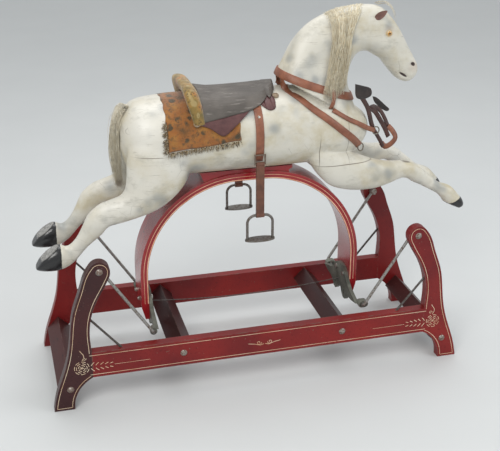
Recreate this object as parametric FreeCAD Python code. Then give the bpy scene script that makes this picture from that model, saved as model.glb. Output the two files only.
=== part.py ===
import FreeCAD, Part
import math
import os

V = FreeCAD.Vector

# Carved wooden horse that swings on a four-post stand.  The horse rides on a bent-wood bow, the bow
# stands on two cast yokes, and four iron hangers carry the yokes from bolts in the post heads.
# Millimetres.  +X is the way the horse faces, +Z is up, the origin is on the floor under the middle.
# "Right" and "left" are the horse's own sides: right is -Y.

# ---- driving dimensions: stand -------------------------------------------------------------------
stand_length = 1120.0      # over the outer corners of the feet
stand_width = 366.0        # over the outer faces of the two side frames
board = 25.0               # thickness of posts and rails
foot_width = 53.0          # width of a foot at the floor
pivot_x = 423.0            # hanger bolts, from the middle
pivot_z = 383.0            # hanger bolts, above the floor
head_radius = 27.0         # rounded top of a post
post_inner_x = 455.0       # shoulder where a rail meets its post
rail_bottom = 88.0
rail_height = 72.0
tenon_length = 26.0
tenon_height = 44.0
tenon_thick = 10.0
bar_side = 45.0            # square cross bars, set arris up
inner_bar_x = 218.0
end_bar_in = 45.0          # middle of an end bar, in from the corners of the feet
end_bar_z = 60.0
bolt_shank_r = 4.0
bolt_head_r = 9.0
bolt_head_h = 5.0
bolt_grip = 40.0           # length of a cross-bar bolt inside its bar
hole_play = 0.05           # radial clearance of every fixed bolt, pin and rod
brace_r = 3.0
brace_foot_x = 379.0       # where a brace enters the top of its rail
brace_rise = 92.0          # height of its upper end above the rail
brace_depth = 12.0         # how far a brace goes into the wood

# ---- driving dimensions: hangers, yokes, bow -----------------------------------------------------
pivot_bolt_r = 5.0
pivot_play = 0.06          # running clearance of every hinge
eye_outer_r = 10.5
eye_thick = 8.0
washer_r = 9.5             # also the corner radius of the pivot nuts
washer_thick = 3.0
nut_thick = 6.0
hanger_r = 4.0
hanger_bend_r = 9.0
yoke_pin_x = 288.0         # lower hanger pins, from the middle
yoke_pin_z = 175.0
pin_tail = 20.0            # pin beyond the boss, for the split pin
yoke_plate = 10.0
boss_r = 9.5
boss_length = 18.0
front_slot = 8.6           # length of the free pivot in the front yoke
front_slot_play = 1.5      # its extra half height
bow_half_span = 303.0      # outer face of a bow leg
bow_top_z = 555.0
bow_shoulder_r = 270.0
bow_thick = 20.0
bow_width = 100.0
bow_foot_drop = 12.0       # foot of the bow, below the pins
block_rear_x = -137.0
block_front_x = 112.0
block_width = 92.0
tie_wire_r = 1.3
tie_wire_rise = 17.0       # ends of the tie wire, above the pins
tie_wire_sag = 16.0

# ---- driving dimensions: horse and tack ----------------------------------------------------------
belly_z = 565.0            # flat underside of the trunk, on the block
belly_drawn = 565.0        # the height the tables of the horse and its tack are drawn for
leg_y = 74.0               # middle of every leg
skin = 0.3                 # air between the wood and whatever is nailed on it
eye_ball_r = 8.0
cloth_thick = 4.0
flap_thick = 3.0
strap_thick = 3.0
strap_width = 21.0
leather_x = 6.0            # middle of the stirrup leathers
leather_top_z = 742.0
buckle_z = 600.0
buckle_frame_h = 24.0      # bar to the top of the buckle frame
buckle_bar_r = 2.0
leather_drop = 140.0       # from buckle bar to stirrup crown
iron_r = 3.5
iron_half_width = 34.0
iron_height = 68.0
tread_thick = 5.0
tread_lip = 2.5            # how far the tread stands out past the iron's sides
tread_half_depth = 15.0

dz = belly_z - belly_drawn
end_bar_x = stand_length / 2 - end_bar_in
bow_foot_z = yoke_pin_z - bow_foot_drop
tie_wire_z = yoke_pin_z + tie_wire_rise
half_width = stand_width / 2
inner_face = half_width - board
mid_board = half_width - board / 2
rail_top = rail_bottom + rail_height
rail_mid = rail_bottom + rail_height / 2
foot_reach = stand_length / 2 - pivot_x
hanger_y = inner_face - washer_thick - pivot_play - eye_thick / 2
far = 2000.0               # longer than anything: used for cutting boxes

os.makedirs("parts", exist_ok=True)
built = {}


def save(name, shape):
    """Write one node and remember it."""
    built[name] = shape
    shape.exportStep("parts/%s.step" % name)


def rod(a, b, radius):
    """Round rod from point a to point b."""
    return Part.makeCylinder(radius, (b - a).Length, a, b - a)


def prism(points, y0, y1):
    """Straight-sided plate: an outline in the X-Z plane taken from y0 to y1."""
    ring = [V(x, y0, z) for x, z in points]
    face = Part.Face(Part.makePolygon(ring + ring[:1]))
    return face.extrude(V(0, y1 - y0, 0))


def to_rear(shape):
    return shape.mirror(V(0, 0, 0), V(1, 0, 0))


def to_left(shape):
    return shape.mirror(V(0, 0, 0), V(0, 1, 0))


def group(shapes):
    return Part.Compound(shapes)


def all_corners(shape):
    """The same piece at all four corners of the stand."""
    return group([shape, to_left(shape), to_rear(shape), to_rear(to_left(shape))])


def biggest(shape):
    """The largest solid of a cut, without slivers."""
    return max(shape.Solids, key=lambda s: s.Volume)


def sweep(path_edges, radius):
    """Round bar along a path of tangent edges."""
    path = Part.Wire(path_edges)
    start = path_edges[0].valueAt(path_edges[0].FirstParameter)
    heading = path_edges[0].tangentAt(path_edges[0].FirstParameter)
    ring = Part.Wire(Part.makeCircle(radius, start, heading))
    return path.makePipeShell([ring], True, False)


# ---- stand: posts, rails, cross bars -------------------------------------------------------------
# A post is one sawn board: wide foot, S-shaped neck, round head.  Shares of the foot reach and of the
# pivot height place the points of its outer edge; the inner edge runs from rail shoulder to head.
outer_edge = [(1.0, 0.0), (0.93, 0.12), (0.815, 0.24), (0.67, 0.405), (0.60, 0.56), (0.52, 0.73),
              (0.365, 0.885)]
inner_edge = [(0.0, 0.0), (-0.03, 0.18), (0.0, 0.336), (0.136, 0.50), (0.39, 0.66), (0.71, 0.807),
              (0.93, 0.92)]


def curve(points, start=None, end=None):
    spline = Part.BSplineCurve()
    if start is None:
        spline.interpolate(points)
    else:
        spline.interpolate(Points=points, InitialTangent=start, FinalTangent=end)
    return spline.toShape()


def post():
    """Front right post with its bolt holes, mortise and brace hole."""
    y = -half_width
    head_left_x = pivot_x - head_radius
    outer = [V(pivot_x + s * foot_reach, y, h * pivot_z) for s, h in outer_edge]
    shoulder = math.radians(40)
    outer.append(V(pivot_x + head_radius * math.cos(shoulder), y, pivot_z + head_radius * math.sin(shoulder)))
    drop = post_inner_x - head_left_x
    rise = pivot_z - rail_top
    inner = [V(post_inner_x - s * drop, y, rail_top + h * rise) for s, h in inner_edge]
    inner.append(V(head_left_x, y, pivot_z))
    crown = math.radians(110)
    over = V(pivot_x + head_radius * math.cos(crown), y, pivot_z + head_radius * math.sin(crown))
    foot_in = V(stand_length / 2 - foot_width, y, 0)
    arch_mid = V((post_inner_x + foot_in.x) / 2 + 8, y, rail_bottom * 0.68)
    corner = V(post_inner_x, y, rail_bottom)
    leave = V(math.cos(shoulder + math.pi / 2), 0, math.sin(shoulder + math.pi / 2))
    edges = [
        Part.makeLine(outer[0], foot_in),
        Part.Arc(foot_in, arch_mid, corner).toShape(),
        Part.makeLine(corner, inner[0]),
        curve(inner, V(0, 0, 1), V(0, 0, 1)),
        Part.Arc(inner[-1], over, outer[-1]).toShape(),
        curve(outer, V(-0.15, 0, 1), leave),
    ]
    body = Part.Face(Part.Wire(Part.__sortEdges__(edges))).extrude(V(0, board, 0))
    body = body.cut(rail_tenon(post_inner_x))
    for x, z, r in ((pivot_x, pivot_z, pivot_bolt_r), (end_bar_x, end_bar_z, bolt_shank_r)):
        body = body.cut(Part.makeCylinder(r + hole_play, board, V(x, y, z), V(0, 1, 0)))
    return body.cut(brace(hole_play))


def rail_tenon(x):
    """Tongue on the front end of the right rail."""
    low = V(x, -mid_board - tenon_thick / 2, rail_mid - tenon_height / 2)
    return Part.makeBox(tenon_length, tenon_thick, tenon_height, low)


def brace_ends():
    """Ends of the front right brace, each brace_depth inside the wood."""
    lower = V(brace_foot_x, -mid_board, rail_top)
    upper = V(post_inner_x, -mid_board, rail_top + brace_rise)
    heading = (upper - lower).normalize()
    return lower - heading * brace_depth, upper + heading * brace_depth


def brace(play):
    a, b = brace_ends()
    spare = (b - a).normalize() * play
    return rod(a - spare, b + spare, brace_r + play)


def rail():
    """Right rail: tenons at both ends, two bolt holes, two brace holes."""
    low = V(-post_inner_x, -half_width, rail_bottom)
    body = Part.makeBox(2 * post_inner_x, board, rail_height, low)
    body = body.fuse([rail_tenon(post_inner_x), to_rear(rail_tenon(post_inner_x))]).removeSplitter()
    for side in (-1, 1):
        at = V(side * inner_bar_x, -half_width, rail_mid)
        body = body.cut(Part.makeCylinder(bolt_shank_r + hole_play, board, at, V(0, 1, 0)))
    return body.cut(brace(hole_play)).cut(to_rear(brace(hole_play)))


def cross_bar(x, z):
    """Square bar between the side frames, arris up, with a pilot hole in each end."""
    bar = Part.makeBox(bar_side, 2 * inner_face, bar_side, V(-bar_side / 2, -inner_face, -bar_side / 2))
    bar.rotate(V(0, 0, 0), V(0, 1, 0), 45)
    bar.translate(V(x, 0, z))
    depth = bolt_grip + hole_play
    for side in (-1, 1):
        start = V(x, side * inner_face, z)
        bar = bar.cut(Part.makeCylinder(bolt_shank_r + hole_play, depth, start, V(0, -side, 0)))
    return bar


def dome_bolt(x, z, shank_r, length):
    """Round-headed bolt in the right side frame, head on the outer face."""
    y = -half_width
    shoulder = V(x + 0.62 * bolt_head_r, y - 0.72 * bolt_head_h, z)
    rim = V(x + bolt_head_r, y, z)
    edges = [
        Part.makeLine(V(x, y + length, z), V(x, y - bolt_head_h, z)),
        Part.Arc(V(x, y - bolt_head_h, z), shoulder, rim).toShape(),
        Part.makeLine(rim, V(x + shank_r, y, z)),
        Part.makeLine(V(x + shank_r, y, z), V(x + shank_r, y + length, z)),
        Part.makeLine(V(x + shank_r, y + length, z), V(x, y + length, z)),
    ]
    return Part.Face(Part.Wire(edges)).revolve(V(x, y, z), V(0, 1, 0), 360)


front_post = post()
save("front_right_post", front_post)
save("front_left_post", to_left(front_post))
save("rear_right_post", to_rear(front_post))
save("rear_left_post", to_rear(to_left(front_post)))
save("right_rail", rail())
save("left_rail", to_left(rail()))
bar_places = {
    "rear_end_bar": (-end_bar_x, end_bar_z),
    "rear_inner_bar": (-inner_bar_x, rail_mid),
    "front_inner_bar": (inner_bar_x, rail_mid),
    "front_end_bar": (end_bar_x, end_bar_z),
}
cross_bolts = []
for name, (bar_x, bar_z) in bar_places.items():
    save(name, cross_bar(bar_x, bar_z))
    bolt = dome_bolt(bar_x, bar_z, bolt_shank_r, board + bolt_grip)
    cross_bolts += [bolt, to_left(bolt)]
save("cross_bar_bolts", group(cross_bolts))
save("braces", all_corners(brace(0.0)))

# ---- pivot bolts and hangers ---------------------------------------------------------------------
nut_face = inner_face - washer_thick - eye_thick - 2 * pivot_play
bolt_end = nut_face - nut_thick


def pivot_set():
    """Bolt, washer and nut of the front right post head."""
    bolt = dome_bolt(pivot_x, pivot_z, pivot_bolt_r, half_width - bolt_end)
    at = V(pivot_x, -inner_face, pivot_z)
    washer = Part.makeCylinder(washer_r, washer_thick, at, V(0, 1, 0))
    washer = washer.cut(Part.makeCylinder(pivot_bolt_r + hole_play, washer_thick, at, V(0, 1, 0)))
    corners = [math.radians(60 * k) for k in range(6)]
    ring = [(pivot_x + washer_r * math.cos(a), pivot_z + washer_r * math.sin(a)) for a in corners]
    nut = prism(ring, -nut_face, -bolt_end)
    start = V(pivot_x, -nut_face, pivot_z)
    nut = nut.cut(Part.makeCylinder(pivot_bolt_r + hole_play, nut_thick, start, V(0, 1, 0)))
    return bolt, washer, nut


pivot_bolt, pivot_washer, pivot_nut = pivot_set()
save("pivot_bolts", all_corners(pivot_bolt))
save("pivot_washers", all_corners(pivot_washer))
save("pivot_nuts", all_corners(pivot_nut))

boss_outer_y = hanger_y - hanger_bend_r - 0.4
boss_inner_y = boss_outer_y - boss_length
pin_end_y = boss_inner_y - pin_tail / 2
split_pin_r = 1.2
split_pin_y = boss_inner_y - pin_tail / 4


def hanger():
    """Front right hanger: eye, straight rod, bend, pin with its split-pin hole."""
    top = V(pivot_x, -hanger_y, pivot_z)
    knee = V(yoke_pin_x, -hanger_y, yoke_pin_z)
    up = (top - knee).normalize()
    inward = V(0, 1, 0)
    turn_in = knee + up * hanger_bend_r
    turn_out = knee + inward * hanger_bend_r
    middle = knee + (up + inward) * hanger_bend_r * (1 - math.sqrt(0.5))
    path = [
        Part.makeLine(top - up * (eye_outer_r - hanger_r / 2), turn_in),
        Part.Arc(turn_in, middle, turn_out).toShape(),
        Part.makeLine(turn_out, V(knee.x, -pin_end_y, knee.z)),
    ]
    bar = sweep(path, hanger_r)
    eye = Part.makeCylinder(eye_outer_r, eye_thick, top - V(0, eye_thick / 2, 0), V(0, 1, 0))
    body = bar.fuse(eye).removeSplitter()
    start = top - V(0, eye_thick, 0)
    bore = Part.makeCylinder(pivot_bolt_r + pivot_play, 2 * eye_thick, start, V(0, 1, 0))
    return body.cut(bore).cut(split_pin(hole_play))


def split_pin(play):
    """Split pin across the tail of the front right hanger pin."""
    reach = hanger_r + 3.5
    low = V(yoke_pin_x, -split_pin_y, yoke_pin_z - reach - play)
    return Part.makeCylinder(split_pin_r + play, 2 * (reach + play), low, V(0, 0, 1))


front_hanger = hanger()
save("front_right_hanger", front_hanger)
save("front_left_hanger", to_left(front_hanger))
save("rear_right_hanger", to_rear(front_hanger))
save("rear_left_hanger", to_rear(to_left(front_hanger)))
front_pin = split_pin(0.0)
save("front_split_pins", group([front_pin, to_left(front_pin)]))
save("rear_split_pins", group([to_rear(front_pin), to_rear(to_left(front_pin))]))

# ---- yokes ---------------------------------------------------------------------------------------
plate_outer_x = bow_half_span - bow_thick
plate_inner_x = plate_outer_x - yoke_plate
yoke_bolt_z = yoke_pin_z + 42.0
yoke_bolt_y = 26.0
yoke_bolt_r = 3.0
yoke_bolt_head_r = 6.0
yoke_bolt_head_h = 3.0
yoke_bolt_tail = 7.0       # shank beyond the outer face of the bow
yoke_nut_r = 5.5
yoke_nut_h = 5.0
lobe_hole_r = 6.5
# Right half of the cast plate, as (distance from the middle, height above the pins).
yoke_half = [(0, 62), (20, 60), (38, 50), (50, 34), (72, 18), (100, 9), (0, 0), (100, -7), (74, -9), (56, -16),
             (46, -29), (32, -31), (20, -22), (10, -8), (0, -4)]


def yoke(slot_length, slot_play):
    """Cast yoke of the front leg; slot_length is the free play of its pins."""
    tip = boss_outer_y - boss_length / 2
    right = [((tip, h) if k == 6 else (d, h)) for k, (d, h) in enumerate(yoke_half)]
    right = [(d, h) for d, h in right if d <= tip]
    ring = [V(plate_inner_x, -d, yoke_pin_z + h) for d, h in right]
    ring += [V(plate_inner_x, d, yoke_pin_z + h) for d, h in reversed(right) if d > 0]
    body = Part.Face(Part.makePolygon(ring + ring[:1])).extrude(V(yoke_plate, 0, 0))
    for side in (-1, 1):
        start = V(yoke_pin_x, side * boss_inner_y, yoke_pin_z)
        out = V(0, side, 0)
        boss = Part.makeCylinder(boss_r, boss_length, start, out)
        if slot_length > 0:
            ahead = V(slot_length, 0, 0)
            boss = boss.fuse(Part.makeCylinder(boss_r, boss_length, start + ahead, out))
            low = V(start.x, min(start.y, start.y + side * boss_length), yoke_pin_z - boss_r)
            boss = boss.fuse(Part.makeBox(slot_length, boss_length, 2 * boss_r, low))
        body = body.fuse(boss)
    body = body.removeSplitter()
    for side in (-1, 1):
        start = V(yoke_pin_x, side * (boss_inner_y - 15), yoke_pin_z)
        out = V(0, side, 0)
        reach = boss_length + 30
        hole_r = hanger_r + pivot_play + slot_play
        body = body.cut(Part.makeCylinder(hole_r, reach, start, out))
        if slot_length > 0:
            body = body.cut(Part.makeCylinder(hole_r, reach, start + V(slot_length, 0, 0), out))
            low = V(start.x, min(start.y, start.y + side * reach), yoke_pin_z - hole_r)
            body = body.cut(Part.makeBox(slot_length, reach, 2 * hole_r, low))
        lobe = V(plate_inner_x, side * 35, yoke_pin_z - 12)
        body = body.cut(Part.makeCylinder(lobe_hole_r, yoke_plate, lobe, V(1, 0, 0)))
        bolt_at = V(plate_inner_x, side * yoke_bolt_y, yoke_bolt_z)
        body = body.cut(Part.makeCylinder(yoke_bolt_r + hole_play, yoke_plate, bolt_at, V(1, 0, 0)))
    return body


def yoke_bolt(side):
    """Bolt through yoke and bow leg: round head inside, nut outside."""
    head_at = V(plate_inner_x, side * yoke_bolt_y, yoke_bolt_z)
    head = Part.makeCylinder(yoke_bolt_head_r, yoke_bolt_head_h, head_at, V(-1, 0, 0))
    length = yoke_plate + bow_thick + yoke_bolt_tail
    shank = Part.makeCylinder(yoke_bolt_r, length, head_at, V(1, 0, 0))
    return head.fuse(shank)


def yoke_nut(side):
    at = V(bow_half_span, side * yoke_bolt_y, yoke_bolt_z)
    nut = Part.makeCylinder(yoke_nut_r, yoke_nut_h, at, V(1, 0, 0))
    return nut.cut(Part.makeCylinder(yoke_bolt_r + hole_play, yoke_nut_h, at, V(1, 0, 0)))


save("front_yoke", yoke(front_slot, front_slot_play))
save("rear_yoke", to_rear(yoke(0.0, 0.0)))
bolts = [yoke_bolt(side) for side in (-1, 1)]
nuts = [yoke_nut(side) for side in (-1, 1)]
save("yoke_bolts", group(bolts + [to_rear(b) for b in bolts]))
save("yoke_nuts", group(nuts + [to_rear(n) for n in nuts]))

# ---- bow, block, tie wire ------------------------------------------------------------------------


def bow_face(inset):
    """Outline of the bow's outer face, moved in by inset, closed straight across its feet."""
    x = bow_half_span - inset
    r = bow_shoulder_r - inset
    shoulder_z = bow_top_z - bow_shoulder_r
    flat = bow_half_span - bow_shoulder_r
    s = r * math.sqrt(0.5)
    points = {
        "foot_r": V(-x, 0, bow_foot_z), "spring_r": V(-x, 0, shoulder_z),
        "haunch_r": V(-flat - s, 0, shoulder_z + s), "crown_r": V(-flat, 0, shoulder_z + r),
        "crown_f": V(flat, 0, shoulder_z + r), "haunch_f": V(flat + s, 0, shoulder_z + s),
        "spring_f": V(x, 0, shoulder_z), "foot_f": V(x, 0, bow_foot_z),
    }
    p = points
    edges = [
        Part.makeLine(p["foot_r"], p["spring_r"]),
        Part.Arc(p["spring_r"], p["haunch_r"], p["crown_r"]).toShape(),
        Part.makeLine(p["crown_r"], p["crown_f"]),
        Part.Arc(p["crown_f"], p["haunch_f"], p["spring_f"]).toShape(),
        Part.makeLine(p["spring_f"], p["foot_f"]),
        Part.makeLine(p["foot_f"], p["foot_r"]),
    ]
    return Part.Face(Part.Wire(edges))


def slab_of(face, width):
    solid = face.extrude(V(0, width, 0))
    solid.translate(V(0, -width / 2, 0))
    return solid


bow = slab_of(bow_face(0), bow_width).cut(slab_of(bow_face(bow_thick), bow_width))
foot_cut = 9.0             # how much a bow leg thins towards its foot
taper = prism([(bow_half_span - foot_cut, bow_foot_z), (bow_half_span, bow_foot_z + 34),
               (bow_half_span + foot_cut, bow_foot_z)], -bow_width, bow_width)
bow = bow.cut(taper).cut(to_rear(taper))
for side in (-1, 1):
    start = V(plate_outer_x, side * yoke_bolt_y, yoke_bolt_z)
    hole = Part.makeCylinder(yoke_bolt_r + hole_play, bow_thick, start, V(1, 0, 0))
    bow = bow.cut(hole).cut(to_rear(hole))

ogee = 9.0
block = prism([(block_rear_x, belly_z), (block_rear_x + 2.6 * ogee, bow_top_z - 45),
               (block_front_x - 3 * ogee, bow_top_z - 45), (block_front_x - ogee, bow_top_z - ogee),
               (block_front_x - ogee, bow_top_z - 2), (block_front_x, bow_top_z + 2), (block_front_x, belly_z)],
              -block_width / 2, block_width / 2)
block = block.cut(slab_of(bow_face(0), bow_width))

screw_x = 62.0
screw_r = 4.0
screw_bite = 55.0
screw_seat = 6.0           # depth of the seat above the crown's underside
screw_seat_r = 9.5
screw_head_r = 8.5
screw_head_h = 5.5
screws = []
screw_holes = []
for side in (-1, 1):
    foot = V(side * screw_x, 0, bow_top_z - bow_thick + screw_seat)
    length = belly_z + screw_bite - foot.z
    shank = Part.makeCylinder(screw_r, length, foot, V(0, 0, 1))
    screw_holes.append(Part.makeCylinder(screw_r + hole_play, length + hole_play, foot, V(0, 0, 1)))
    head = Part.makeCylinder(screw_head_r, screw_head_h, foot, V(0, 0, -1))
    screws.append(shank.fuse(head).removeSplitter())
    # Each screw's head beds on a flat seat cut in the underside of the bow.
    bow = bow.cut(Part.makeCylinder(screw_seat_r, 2 * bow_thick, foot, V(0, 0, -1)))
bow = bow.cut(screw_holes[0]).cut(screw_holes[1])
block = block.cut(screw_holes[0]).cut(screw_holes[1])
save("bow", bow)
save("bow_block", biggest(block))
save("bow_screws", group(screws))

wire_end = plate_inner_x + 3
wire_arc = Part.Arc(V(-wire_end, 0, tie_wire_z), V(0, 0, tie_wire_z - tie_wire_sag), V(wire_end, 0, tie_wire_z))
tie_wire = sweep([wire_arc.toShape()], tie_wire_r)
yoke_gap = Part.makeBox(2 * plate_inner_x, 40, 80, V(-plate_inner_x, -20, tie_wire_z - 60))
save("tie_wire", tie_wire.common(yoke_gap))

# ---- carved horse --------------------------------------------------------------------------------
# Every carved block is lofted through oval sections.  A section is a middle, the half height across
# the piece, the half width in Y and the tilt of its plane; "over" makes the same piece a little fatter,
# which is how cloth, leather and straps get their shape.


def oval(x, y, z, half_h, half_w, tilt, square=2.0):
    """Closed oval wire.  tilt turns its plane from upright (0) about the Y axis, in degrees."""
    count = 16
    lean = math.radians(tilt)
    points = []
    for k in range(count):
        a = 2 * math.pi * k / count
        c, s = math.cos(a), math.sin(a)
        up = half_h * math.copysign(abs(c) ** (2 / square), c)
        out = half_w * math.copysign(abs(s) ** (2 / square), s)
        points.append(V(x + up * math.sin(lean), y + out, z + up * math.cos(lean)))
    spline = Part.BSplineCurve()
    spline.interpolate(Points=points, PeriodicFlag=True)
    return Part.Wire(spline.toShape())


def loft(wires):
    return Part.makeLoft(wires, True, True)


# Trunk stations: x, underside above belly_z, back above belly_z, half width.  The undersides run a
# little below belly_z, where the belly is planed flat for the block.
trunk_stations = [
    (-334, 58, 128, 34), (-322, 28, 164, 66), (-290, 4, 184, 88), (-235, -8, 196, 100), (-150, -10, 200, 106),
    (-50, -10, 193, 109), (50, -10, 198, 108), (140, -10, 202, 102), (215, -6, 190, 95), (275, 8, 166, 82),
    (312, 36, 132, 62), (326, 58, 106, 36),
]
planed_off = Part.makeBox(2 * far, 2 * far, belly_z, V(-far, -far, 0))


lofted = {}


def trunk(over_top=0.0, over_side=0.0):
    key = ("trunk", over_top, over_side)
    if key in lofted:
        return lofted[key]
    wires = []
    for x, low, high, half_w in trunk_stations:
        bottom, top = belly_z + low, belly_z + high + over_top
        wires.append(oval(x, 0, (bottom + top) / 2, (top - bottom) / 2, half_w + over_side, 0, 2.5))
    lofted[key] = loft(wires)
    return lofted[key]


# Neck and head stations: upper point (crest, forehead), lower point (throat, jaw), half width.
head_stations = [
    ((78, 800), (300, 672), 80), ((96, 838), (286, 722), 64), ((118, 880), (271, 765), 50),
    ((160, 924), (276, 808), 42), ((222, 954), (292, 840), 36), ((290, 966), (318, 846), 37),
    ((346, 962), (345, 832), 38), ((386, 930), (366, 816), 36), ((411, 888), (380, 794), 31),
    ((433, 844), (396, 768), 25), ((452, 806), (416, 756), 23), ((466, 784), (442, 757), 18),
]


def neck_and_head(over=0.0):
    key = ("neck", over)
    if key in lofted:
        return lofted[key]
    wires = []
    for (ux, uz), (lx, lz), half_w in head_stations:
        half_h = math.hypot(ux - lx, uz - lz) / 2
        tilt = math.degrees(math.atan2(ux - lx, uz - lz))
        x, z = (ux + lx) / 2, (uz + lz) / 2 + dz
        wires.append(oval(x, 0, z, half_h + over, half_w + over, tilt, 2.1))
    lofted[key] = loft(wires)
    return lofted[key]


# Leg stations: x, z above belly_z, half height across the leg, half width, tilt of the section.
foreleg_stations = [
    (200, 4, 50, 34, 6), (255, -18, 53, 35, 5), (310, -34, 40, 33, 0), (368, -34, 30, 26, 6),
    (424, -38, 24, 24, 26), (466, -60, 19, 19, 31), (503, -83, 18, 18, 33), (527, -98, 20, 20, 40), (546, -117, 20, 21, 52),
    (564, -147, 25, 26, 62),
]
hindleg_stations = [
    (-205, 16, 60, 38, -14), (-262, -22, 50, 36, -20), (-330, -57, 33, 29, -14), (-382, -72, 31, 25, -24),
    (-412, -92, 28, 23, -38), (-438, -124, 21, 19, -45), (-461, -155, 18, 18, -43), (-482, -175, 22, 21, -22),
    (-508, -178, 31, 27, -2), (-554, -170, 34, 29, 38),
]


def leg(stations):
    return loft([oval(x, -leg_y, belly_z + z, h, w, tilt, 2.2) for x, z, h, w, tilt in stations])


wood_trunk = trunk().cut(planed_off)
planed_trunk = wood_trunk
for hole in screw_holes:
    wood_trunk = wood_trunk.cut(hole)
save("horse_trunk", wood_trunk)

eye_x, eye_z = 369.0, belly_z + 330.0


def surface_y(solid, x, z):
    """How far the right side of a solid stands out at x, z."""
    hit = solid.common(Part.makeLine(V(x, -far, z), V(x, 0, z)))
    return -min(v.Y for v in hit.Vertexes)


neck = neck_and_head()
eye_y = surface_y(neck, eye_x, eye_z) - eye_ball_r * 0.45
eye = Part.makeSphere(eye_ball_r, V(eye_x, -eye_y, eye_z))
socket = Part.makeSphere(eye_ball_r + hole_play, V(eye_x, -eye_y, eye_z))
save("glass_eyes", group([eye, to_left(eye)]))
save("horse_neck_and_head", biggest(neck.cut(trunk()).cut(socket).cut(to_left(socket))))

foreleg = biggest(leg(foreleg_stations).cut(planed_trunk))
hindleg = biggest(leg(hindleg_stations).cut(planed_trunk))
save("right_foreleg", foreleg)
save("left_foreleg", to_left(foreleg))
save("right_hind_leg", hindleg)
save("left_hind_leg", to_left(hindleg))

ear_y = 22.0
ear_base = [(324, 951, 11, 10), (336, 966, 13, 8), (350, 973, 11, 5), (368, 974, 4, 2)]
ear_wires = []
for k, (x, z, h, w) in enumerate(ear_base):
    ear_wires.append(oval(x, -ear_y - k * 3.0, z + dz, h, w, -48 + 14 * k))
ear = loft(ear_wires)
ear = biggest(ear.cut(neck))
save("ears", group([ear, biggest(to_left(ear).cut(neck))]))

# ---- hair ----------------------------------------------------------------------------------------
# The mane lies on the right side of the neck, from the poll down to the withers.
mane_fall = [0.30, 0.30, 0.34, 0.40, 0.42, 0.40]    # how far it hangs down each neck station
mane_wires = []
for ((ux, uz), (lx, lz), half_w), fall in zip(head_stations, mane_fall):
    half_h = math.hypot(ux - lx, uz - lz) / 2
    tilt = math.degrees(math.atan2(ux - lx, uz - lz))
    x, z = ux + (lx - ux) * fall, uz + (lz - uz) * fall + dz
    mane_wires.append(oval(x, -half_w * 0.62, z, half_h * 2 * fall + 7, half_w * 0.38 + 12, tilt, 2.0))
mane = loft(mane_wires[1:]).cut(neck_and_head(skin))
save("mane", biggest(mane.cut(trunk(skin, skin))))

tail_line = [(-322, 742, 9, -11), (-342, 738, 13, -40), (-356, 712, 15, -75), (-359, 660, 17, -91),
             (-355, 600, 15, -95), (-350, 555, 11, -96), (-348, 520, 5, -96)]
tail = loft([oval(x, 0, z + dz, h, h * 1.1, tilt) for x, z, h, tilt in tail_line])
save("tail", biggest(tail.cut(trunk(skin, skin))))

# ---- saddle --------------------------------------------------------------------------------------


def draped(inner_top, inner_side, thick_top, thick_side, outline):
    """Layer over the trunk: starts inner_* above the wood, thick_* deep, inside an X-Z outline."""
    outer = trunk(inner_top + thick_top, inner_side + thick_side)
    inner = trunk(inner_top, inner_side)
    region = prism([(x, z + dz) for x, z in outline], -far / 4, far / 4)
    return outer.common(region).cut(inner)


cloth_outline = [(-228, 800), (-48, 800), (-42, 660), (-224, 644)]
cloth = draped(skin, skin, cloth_thick, cloth_thick, cloth_outline)
save("saddle_cloth", biggest(cloth))

over_cloth = 2 * skin + cloth_thick
cantle_outline = [(-200, 840), (-158, 840), (-126, 706), (-164, 706)]
seat_outline = [(-153.5, 840), (62, 840), (66, 768), (-19, 729), (-124, 708)]
flap_outline = [(-144, 713), (-92, 681), (-62, 699), (-14, 730), (-19, 728.5), (-124, 707)]
remnant_outline = [(16, 744.5), (38, 731), (54, 735), (56, 762)]
roll_rise = 42.0           # how far the roll stands above the cloth, on the back and on the sides
roll_side = 12.0
cantle = draped(over_cloth, over_cloth, roll_rise, roll_side, cantle_outline)
save("cantle_roll", biggest(cantle))
seat = draped(over_cloth, over_cloth, 13.0, 5.0, seat_outline)
save("saddle_seat", biggest(seat.cut(cantle)))
flap = draped(over_cloth, over_cloth, flap_thick, flap_thick, flap_outline)
remnant = draped(skin, skin, flap_thick, flap_thick, remnant_outline)
both = flap.cut(seat).cut(cantle).Solids + remnant.cut(seat).Solids
save("right_saddle_flap", group([s for s in both if s.CenterOfMass.y < 0 and s.Volume > 100]))
save("left_saddle_flap", group([s for s in both if s.CenterOfMass.y > 0 and s.Volume > 100]))

# ---- straps nailed round neck and chest ----------------------------------------------------------


def collar(solid, middle, slope, width):
    """Thick ring round a solid: its own section in a sloping plane, made fatter, width wide."""
    lean = math.radians(slope)
    normal = V(math.sin(lean), 0, math.cos(lean))
    at = V(middle[0], 0, middle[1] + dz)
    section = max(solid.slice(normal, at * normal), key=lambda wire: wire.Length)
    points = section.discretize(Number=33)[:-1]
    centre = sum(points, V()) * (1 / len(points))
    grown = [p + (p - centre).normalize() * (skin + strap_thick + 1.0) for p in points]
    spline = Part.BSplineCurve()
    spline.interpolate(Points=grown, PeriodicFlag=True)
    outer = Part.Face(Part.Wire(spline.toShape()))
    outer.translate(normal * (-width / 2))
    return outer.extrude(normal * width)


wood = [trunk(skin, skin), neck_and_head(skin)]
neck_band = collar(neck_and_head(), (160, 768), 22.0, 24.0).cut(wood[1]).cut(wood[0])
neck_band = biggest(neck_band.cut(mane).cut(seat))
save("neck_strap", neck_band)

for name, low_y in (("right_breast_strap", -far / 2), ("left_breast_strap", 0)):
    breast_box = Part.makeBox(222, far / 2, 190, V(78, low_y, 585 + dz))
    breast = collar(trunk(), (220, 674), 41.0, strap_width).common(breast_box).cut(wood[0]).cut(wood[1])
    save(name, biggest(breast.cut(neck_band)))


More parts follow.
